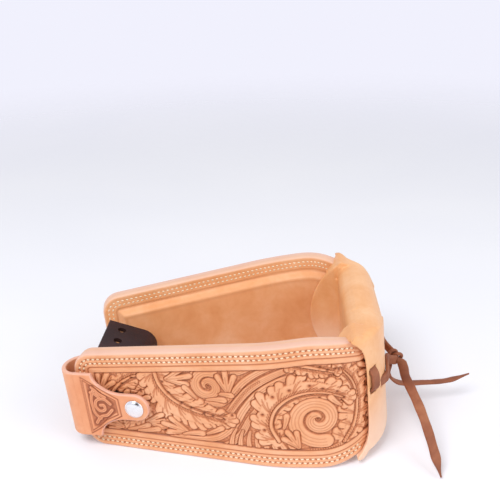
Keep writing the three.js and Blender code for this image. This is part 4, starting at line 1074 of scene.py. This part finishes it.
def flap_half(s):
    """Half the flap's width: concave shoulders, a straight tongue and its round tip."""
    t = np.arccos(np.clip(1 - (s - SHOULDER_START) / (SHOULDER_END - SHOULDER_START), 0, 1))
    shoulder = STRAP_WIDTH / 2 - (STRAP_WIDTH - TONGUE_WIDTH) / 2 * np.sin(np.where(s < SHOULDER_START, 0, t))
    tip = np.sqrt(np.maximum((TONGUE_WIDTH / 2) ** 2 - np.maximum(s - SNAP_REACH, 0) ** 2, 0))
    return np.where(s > SNAP_REACH, tip, shoulder)


def flap_rows(straight, shoulders, tongue, tip):
    """Places down the flap's straight stretch, shoulders, tongue and tip; shoulders and tip come as angles."""
    return np.concatenate([straight, SHOULDER_START + (SHOULDER_END - SHOULDER_START) * (1 - np.cos(shoulders)), tongue,
                           SNAP_REACH + TONGUE_WIDTH / 2 * np.sin(tip)])


# Tooled on the flap: a double line that follows its shape, and a small scroll
FLAP_CENTRE = np.array([17.0, 0.0])
FLAP_PANEL = [(6.8, -21.6), (6.6, 21.2), (12.5, 17.4), (20, 12.1), (30, 6.0), (30.4, -6.8), (20, -12.6), (13, -17.8),
              (6.8, -21.6)]
FLAP_SCROLL = [[(24, 2), (20, 5.5), (15, 4.5), (13.4, 0), (16, -3.6), (19.6, -2.4), (19.2, 0.8), (17, 0.8)],
               [(13.5, 11.5), (11.4, 6), (11.2, 0), (12.2, -6), (15.5, -9.5)],
               [(24.5, -2.5), (20.5, -6.5), (16, -8.0), (12.0, -13)],
               [(21, 7), (17, 9.5), (13, 14)], [(17.2, 6.2), (14.5, 8.8), (11.5, 10)]]


def panel_line(inset):
    """The panel's outline, drawn in towards its centre."""
    p = np.array(FLAP_PANEL) - FLAP_CENTRE
    p = FLAP_CENTRE + p * (1 - inset / np.maximum(np.linalg.norm(p, axis=1), 1e-6))[:, None]
    return np.concatenate([np.linspace(a, b, 40, endpoint=False) for a, b in zip(p, p[1:])])


def flap_tooling(s, y):
    """How deep the flap is cut, and how dark it is stained."""
    sunk, dark = np.zeros(s.shape), np.zeros(s.shape)
    for inset, depth in ((0.0, 0.55), (2.4, 0.45)):
        d = distance(s, y, panel_line(inset))
        sunk = sunk + depth * groove(d, 0.42)
        dark = np.maximum(dark, 0.95 * groove(d, 0.45))
    inside = (s > 9.6) & (s < 27.8) & (np.abs(y) < np.interp(s, [9.6, 14, 20, 25, 28], [16.2, 15.8, 9.8, 5.8, 3.8]))
    d = distance(s, y, np.concatenate([curve(line, LINE_STEP) for line in FLAP_SCROLL]))
    sunk = sunk + np.where(inside, 0.65 * smooth(d, 0.85, 1.3) + 0.22 * groove(d, 0.28), 0.0)
    ground = 0.95 * smooth(d, 0.8, 1.2) * (1 - 0.35 * smooth(d, 1.5, 3.2))
    return sunk, np.maximum(dark, np.where(inside, np.maximum(ground, 0.6 * groove(d, 0.3)), 0))


def tooled_flap():
    quarter = math.pi / 2
    rows = flap_rows(np.linspace(STRAP_BEND_DROP + 0.08, SHOULDER_START, 30)[:-1], np.linspace(0, quarter, 60),
                     np.linspace(SHOULDER_END, SNAP_REACH, 18)[1:], np.linspace(0, quarter * 0.985, 34)[1:])
    half = flap_half(rows)[:, None]
    near = np.array([0.0, 0.1, 0.3, 0.6, 1.0]) * np.minimum(1, half / 3)
    y = np.concatenate([-half + near, np.linspace(-1, 1, 110)[None] * (half - 1.4 * np.minimum(1, half / 3)),
                        half - near[:, ::-1]], 1)
    s = np.broadcast_to(rows[:, None], y.shape)
    rim = flap_rows(np.linspace(STRAP_BEND_DROP - 3, SHOULDER_START, 60), np.linspace(0, quarter, 120),
                    np.linspace(SHOULDER_END, SNAP_REACH, 24), np.linspace(0, quarter, 60))
    inset = distance(s, np.abs(y), np.stack([rim, flap_half(rim)], -1))
    sunk, dark = flap_tooling(s, y)
    top = arm_point(s, y, FLAP_OUT + rounded(inset, 0.9) - sunk)
    verts, faces = closed(top, arm_point(s, y, FLAP_IN - rounded(inset, 0.7)))
    edge = edge_wear_and_sheen(inset, 1.0, 0.1).ravel()
    marks = {"cut": np.r_[dark.ravel(), 0 * edge], "edge": np.r_[edge, edge]}
    piece("snap_flap_tooled", verts, faces, STRAP_LEATHER, "flap", ("snap_flap",), marks)


bent_strap()
tooled_flap()


def lathe(name, pairs, placed, material, body, stands_for, sides=72):
    """Closed piece turned about an axis: radius and height pairs, placed by an origin and three directions."""
    origin, a, b, axis = (np.asarray(v, float) for v in placed)
    angle = np.linspace(0, 2 * math.pi, sides, endpoint=False)
    verts, loops = [], []
    for radius, height in pairs:
        count = 1 if radius < 1e-6 else sides
        loops.append(list(range(len(verts), len(verts) + count)))
        verts += [origin + height * axis + radius * (math.cos(k) * a + math.sin(k) * b) for k in angle[:count]]
    faces = []
    for p, q in zip(loops, loops[1:] if len(loops[0]) == 1 else loops[1:] + loops[:1]):
        for k in range(sides):
            m = (k + 1) % sides
            if len(p) == 1:
                faces.append([p[0], q[k], q[m]])
            elif len(q) == 1:
                faces.append([p[k], q[0], p[m]])
            else:
                faces.append([p[k], q[k], q[m], p[m]])
    return piece(name, verts, faces, material, body, stands_for)


def snap_cap():
    """A low dome with a rolled rim, on the post that clamps the flap."""
    base, post_end, radius = FLAP_OUT + 0.02, FLAP_IN - GAP - 0.4, SNAP_DIAMETER / 2
    post = [(0, post_end), (SNAP_POST_RADIUS, post_end), (SNAP_POST_RADIUS, base)]
    rim = [(radius - 0.5, base)] + [(radius - 0.5 + 0.48 * math.cos(t), base + 0.5 + 0.48 * math.sin(t))
                                    for t in np.linspace(-1.3, 1.9, 12)]
    dome = [(radius - 0.55, base + 0.95)] + [((radius - 0.9) * math.cos(t), base + 0.95 + 1.35 * math.sin(t))
                                             for t in np.linspace(0.12, math.pi / 2, 14)]
    dome[-1] = (0.0, dome[-1][1])
    placed = (arm_point(SNAP_REACH, 0, 0).reshape(3), DOWN, (0, 1, 0), OUT)
    lathe("snap_cap_polished", post + rim + dome, placed, CHROME, "flap", ("snap_cap",))


def roller():
    """The roller on the bolt, with its bore and rounded ends."""
    lean = ROLLER_DIAMETER / 2 * math.tan(FLARE) + GAP
    near, far = slant(STRAP_IN) - lean, -(slant(BULGE_BOTTOM) - lean)
    r, bore = ROLLER_DIAMETER / 2, BOLT_DIAMETER / 2 + GAP
    corner = [(bore, 0.5), (bore + 0.4, 0), (r - 0.9, 0), (r - 0.25, 0.25), (r, 0.9)]
    pairs = [(radius, far + inset) for radius, inset in corner]
    pairs += [(radius, near - inset) for radius, inset in corner[::-1]]
    placed = ((0, 0, BOLT_HEIGHT), (0, 1, 0), (0, 0, 1), (1, 0, 0))
    lathe("roller_turned", pairs, placed, STEEL, "roller", ("roller",))


snap_cap()
roller()


# Wear leathers: two layers bent to a U under the roller, their legs up to the neck's mouth
INNER_RADIUS = ROLLER_DIAMETER / 2 + GAP
OUTER_RADIUS = INNER_RADIUS + WEAR_INNER + GAP
INNER_SHORTER = 3.0
LEG_WAY = np.array([math.sin(WEAR_FLARE), math.cos(WEAR_FLARE)])
LEG_NORMAL = np.array([LEG_WAY[1], -LEG_WAY[0]])
WEAR_NEAR, WEAR_FAR = (-corner[1] * 1000.0 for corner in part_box("wear_leather_outer"))
WEAR_MIDDLE = (WEAR_NEAR + WEAR_FAR) / 2


def wear(word, radius, thickness, leg, material):
    """One layer, bent to a radius under the roller, with legs that lean out."""
    angle = np.linspace(-math.pi / 2, -WEAR_FLARE, 26)
    arc_n = np.stack([np.cos(angle), np.sin(angle)], -1)
    arc = (radius + thickness / 2) * arc_n
    run = np.r_[np.linspace(0, leg - 1.2, 24)[1:], leg - 1.2 + np.linspace(0, 1.2, 6)[1:]]
    right = np.concatenate([arc, arc[-1] + run[:, None] * LEG_WAY])
    right_n = np.concatenate([arc_n, np.repeat(arc_n[-1:], len(run), 0)])
    p, q = (np.concatenate([half[:0:-1] * (-1, 1), half]) for half in (right, right_n))
    points = np.stack([np.full(len(p), WEAR_MIDDLE), p[:, 0], BOLT_HEIGHT + p[:, 1]], -1)
    normals = np.stack([np.zeros(len(q)), q[:, 0], q[:, 1]], -1)
    verts, faces, marks = band(points, normals, (1, 0, 0), (WEAR_NEAR - WEAR_FAR) / 2, thickness, 34, 0.9)
    name = "wear_leather_" + word
    return piece(name + "_bent", verts, faces, material, "wear_leather", (name,), marks)


def wear_holes():
    """Three holes through the outer layer, near the end of its leg."""
    c = LEG_NORMAL * (OUTER_RADIUS + WEAR_OUTER / 2) + LEG_WAY * (WEAR_LEG - WEAR_HOLE_FROM_END)
    inner, outer = c - LEG_NORMAL * 2.6, c + LEG_NORMAL * 4
    for place in (-1, 0, 1):
        x = WEAR_MIDDLE + place * WEAR_HOLE_PITCH
        yield (x, inner[0], BOLT_HEIGHT + inner[1]), (x, outer[0], BOLT_HEIGHT + outer[1]), WEAR_HOLE_RADIUS


wear("inner", INNER_RADIUS, WEAR_INNER, WEAR_LEG - INNER_SHORTER, PLAIN)
cut_holes(wear("outer", OUTER_RADIUS, WEAR_OUTER, WEAR_LEG, DARK), wear_holes(), 40)


# Soft copies of CAD solids: remeshed fine, smoothed and given slight unevenness
WRINKLE_WAVES = (90, 140, 210, 330, 480)


def merged(mesh, other):
    """Add another mesh's faces to a mesh."""
    work = bmesh.new()
    work.from_mesh(mesh)
    work.from_mesh(other)
    work.to_mesh(mesh)
    work.free()


def read_points(mesh, kind):
    values = np.empty(len(mesh.vertices) * 3)
    mesh.vertices.foreach_get(kind, values)
    return values.reshape(-1, 3)


def softened(name, source, voxel, rounds, material, wrinkle, shaped=None, filler=None):
    """Voxel and wrinkle are in mm. The filler is remeshed with the solid, and shaped moves the points."""
    mesh = frame["nodes"][source].data.copy()
    if filler is not None:
        merged(mesh, filler)
    mesh.materials.clear()
    mesh.materials.append(material)
    made = link(name, mesh)
    remesh = made.modifiers.new("remesh", "REMESH")
    remesh.mode, remesh.use_smooth_shade = "VOXEL", True
    remesh.voxel_size = voxel / 1000.0 * 1.0
    ease = made.modifiers.new("ease", "SMOOTH")
    ease.factor, ease.iterations = 0.5, rounds
    apply_all(made)
    p, normal = read_points(made.data, "co"), read_points(made.data, "normal")
    wave = sum(np.sin(p @ (rng.normal(0, 1, 3) * f) + rng.uniform(0, 6.28)) for f in WRINKLE_WAVES)
    if shaped:
        p = shaped(p, normal)
    p = p + normal * (wave * wrinkle / 1000.0 / 2.5)[:, None]
    made.data.vertices.foreach_set("co", p.ravel())
    made.data.update()
    made.data.shade_smooth()
    return settled(made, "stirrup", (source,))


for word in ("string_stitch_near", "string_stitch_far", "string_run_near", "string_run_far"):
    softened(word + "_lace", word, 0.3, 5, LACE, 0.10)
softened("string_knot_tied", "string_knot", 0.28, 4, LACE, 0.08)

# Tread leather: its corners brought to the true curve, and pressed into the step at the linings' edges
CORNER_CENTRE = TREAD_WIDTH / 2 - CORNER_RADIUS
EDGE_TURN, LIP_ROUND, LIP_ROUND_MOST = 4.5, 5.5, 5.3
FILLER_PLACES, FILLER_SIZE, FILLER_GROWN = (53, 37, 24), (0.040, 0.026, 0.020), 0.0012


def true_corner(p, normal):
    """Points in metres, moved on to the corner's curve."""
    q = (p * 1000.0 - OFFSET) @ AXES.T
    sign = np.sign(q[:, 0])
    dx, dz = np.abs(q[:, 0]) - CORNER_CENTRE, CORNER_TOP - q[:, 2]
    radius = np.maximum(np.hypot(dx, dz), 1e-6)
    wanted = CORNER_RADIUS + TREAD_LEATHER + GAP - (COVER + GAP) * (dz / radius) ** 2
    facing = (normal @ AXES.T * np.stack([sign * dx, 0 * dx, -dz], -1)).sum(1) / radius
    near = (dx > 0) & (dz > 0) & (facing > 0.9) & (np.abs(radius - wanted) < 1.0)
    radius_now = np.where(near, wanted, radius)
    # The outer edges beside the arms are turned over, as leather is
    half = half_width(q[:, 2]) + TREAD_LEATHER + GAP
    a, b = np.abs(q[:, 1]) - (half - EDGE_TURN), radius_now - (wanted - EDGE_TURN)
    out = np.hypot(a, b)
    edge = (a > 0) & (b > 0) & (dx > 0) & (dz > 0) & (out > EDGE_TURN)
    shrink = np.where(edge, EDGE_TURN / np.maximum(out, 1e-6), 1.0)
    q[:, 1] = np.where(edge, np.sign(q[:, 1]) * (half - EDGE_TURN + a * shrink), q[:, 1])
    radius_now = np.where(edge, wanted - EDGE_TURN + b * shrink, radius_now)
    q[:, 0] = np.where(near | edge, sign * (CORNER_CENTRE + dx * radius_now / radius), q[:, 0])
    q[:, 2] = np.where(near | edge, CORNER_TOP - dz * radius_now / radius, q[:, 2])
    # The lip's upper ends are rounded
    over = np.clip(np.abs(q[:, 1]) - (half - LIP_ROUND), 0, LIP_ROUND_MOST)
    drop = (LIP_ROUND - np.sqrt(LIP_ROUND ** 2 - over ** 2)) * smooth(q[:, 2], RIM_EDGE - 14.0, RIM_EDGE)
    q[:, 2] = q[:, 2] - drop * (1 - smooth(q[:, 2], RIM_EDGE + 1.0, RIM_EDGE + 6.0)) * (dx > 0)
    return world(q)


def rim_filler():
    """The tread block's corners by the linings' borders, grown a little, to be skinned with leather."""
    block = frame["nodes"]["tread_block"].data.copy()
    work = bmesh.new()
    work.from_mesh(block)
    bmesh.ops.remove_doubles(work, verts=work.verts, dist=1e-6)
    work.to_mesh(block)
    work.free()
    boxes = bmesh.new()
    for x, y in ((-1, -1), (-1, 1), (1, -1), (1, 1)):
        corner = world(np.multiply(FILLER_PLACES, (x, y, 1)))
        bmesh.ops.create_cube(boxes, size=1.0, matrix=Matrix.Translation(corner) @ Matrix.Diagonal((*FILLER_SIZE, 1)))
    mesh = bpy.data.meshes.new("corner_boxes")
    boxes.to_mesh(mesh)
    boxes.free()
    made, tool = link("filler", block), link("corner_boxes", mesh)
    combine(made, tool, "INTERSECT")
    grow = made.modifiers.new("grow", "DISPLACE")
    grow.strength, grow.mid_level = FILLER_GROWN, 0.0
    apply_all(made)
    mesh = made.data.copy()
    for spent in (tool, made):
        bpy.data.objects.remove(spent)
    return mesh


softened("tread_leather_moulded", "tread_leather", 0.5, 7, TREAD, 0.10, true_corner, rim_filler())


# Lights
def lamp(name, place, size, power, target=(0, 0, 0.04)):
    """A round soft light that looks at the stirrup."""
    data = bpy.data.lights.new(name, "AREA")
    data.shape, data.size, data.energy = "DISK", size, power
    turned = (Vector(target) - Vector(place)).to_track_quat("-Z", "Y").to_matrix().to_4x4()
    link(name, data).matrix_world = Matrix.Translation(Vector(place)) @ turned


lamp("key", (-0.45, -0.75, 1.25), 0.8, 12.0)
lamp("fill", (0.95, -0.6, 0.6), 0.9, 4.5)

# Background: soft light, a pale backdrop for the camera, and the studio's dark front, seen only in what shines
SOFT_LIGHT, BACKDROP = 0.62, (0.88, 0.88, 0.985)
DARK_CARD, CARD_WAY, CARD_FROM, CARD_TO = (0.035, 0.03, 0.03), Vector((0.0, -0.86, 0.50)).normalized(), 0.87, 0.93
sky = bpy.data.worlds.new("sky")
scene.world = sky
sky.use_nodes = True
tree = sky.node_tree
tree.nodes.clear()


def math_of(tree, operation, a, b):
    return node(tree, "ShaderNodeMath", a, b, operation=operation).outputs[0]


path = node(tree, "ShaderNodeLightPath").outputs
way = node(tree, "ShaderNodeTexCoord").outputs["Generated"]
facing = node(tree, "ShaderNodeVectorMath", way, CARD_WAY, operation="DOT_PRODUCT").outputs["Value"]
card = span(tree, facing, start=CARD_FROM, end=CARD_TO, kind="SMOOTHSTEP")
card = math_of(tree, "MULTIPLY", card, path["Is Glossy Ray"])
shown = node(tree, "ShaderNodeBackground", Color=mix(tree, card, BACKDROP, DARK_CARD), Strength=1.0)
soft = node(tree, "ShaderNodeBackground", Color=(1, 1, 1), Strength=SOFT_LIGHT)
seen = math_of(tree, "MAXIMUM", path["Is Camera Ray"], path["Is Glossy Ray"])
seen = math_of(tree, "MAXIMUM", seen, path["Is Transmission Ray"])
both = node(tree, "ShaderNodeMixShader", seen, soft.outputs[0], shown.outputs[0])
node(tree, "ShaderNodeOutputWorld", Surface=both.outputs[0])

# Floor: a pale disc that fades out into the backdrop
RINGS, SPOKES, FADE_FROM, FADE_TO, TONE_NOISE = (0.3, 0.6, 1.0, 1.6, 2.4), 48, 0.35, 1.5, (2.2, 2.0, 0.5, 0.6)
turns = [2 * math.pi * k / SPOKES for k in range(SPOKES)]
verts = [(0, 0, 0)] + [(r * math.cos(t), r * math.sin(t), 0) for r in RINGS for t in turns]
faces = [(0, 1 + k, 1 + (k + 1) % SPOKES) for k in range(SPOKES)]
for a in range(1, 1 + (len(RINGS) - 1) * SPOKES, SPOKES):
    faces += [(a + k, a + SPOKES + k, a + SPOKES + (k + 1) % SPOKES, a + (k + 1) % SPOKES) for k in range(SPOKES)]
floor_mesh = bpy.data.meshes.new("floor")
floor_mesh.from_pydata(verts, [], faces)
material, tree, coords = new_material("pale_floor")
tones = ramp(tree, noise(tree, coords, *TONE_NOISE), [(0.3, (0.89, 0.90, 0.975)), (0.7, (0.94, 0.945, 1.0))])
away = node(tree, "ShaderNodeVectorMath", coords, operation="LENGTH").outputs["Value"]
fade = span(tree, away, start=FADE_FROM, end=FADE_TO, kind="SMOOTHSTEP")
matte, clear = node(tree, "ShaderNodeBsdfDiffuse", Color=tones), node(tree, "ShaderNodeBsdfTransparent")
blend = node(tree, "ShaderNodeMixShader", fade, matte.outputs[0], clear.outputs[0])
node(tree, "ShaderNodeOutputMaterial", Surface=blend.outputs[0])
floor_mesh.materials.append(material)
link("floor", floor_mesh)
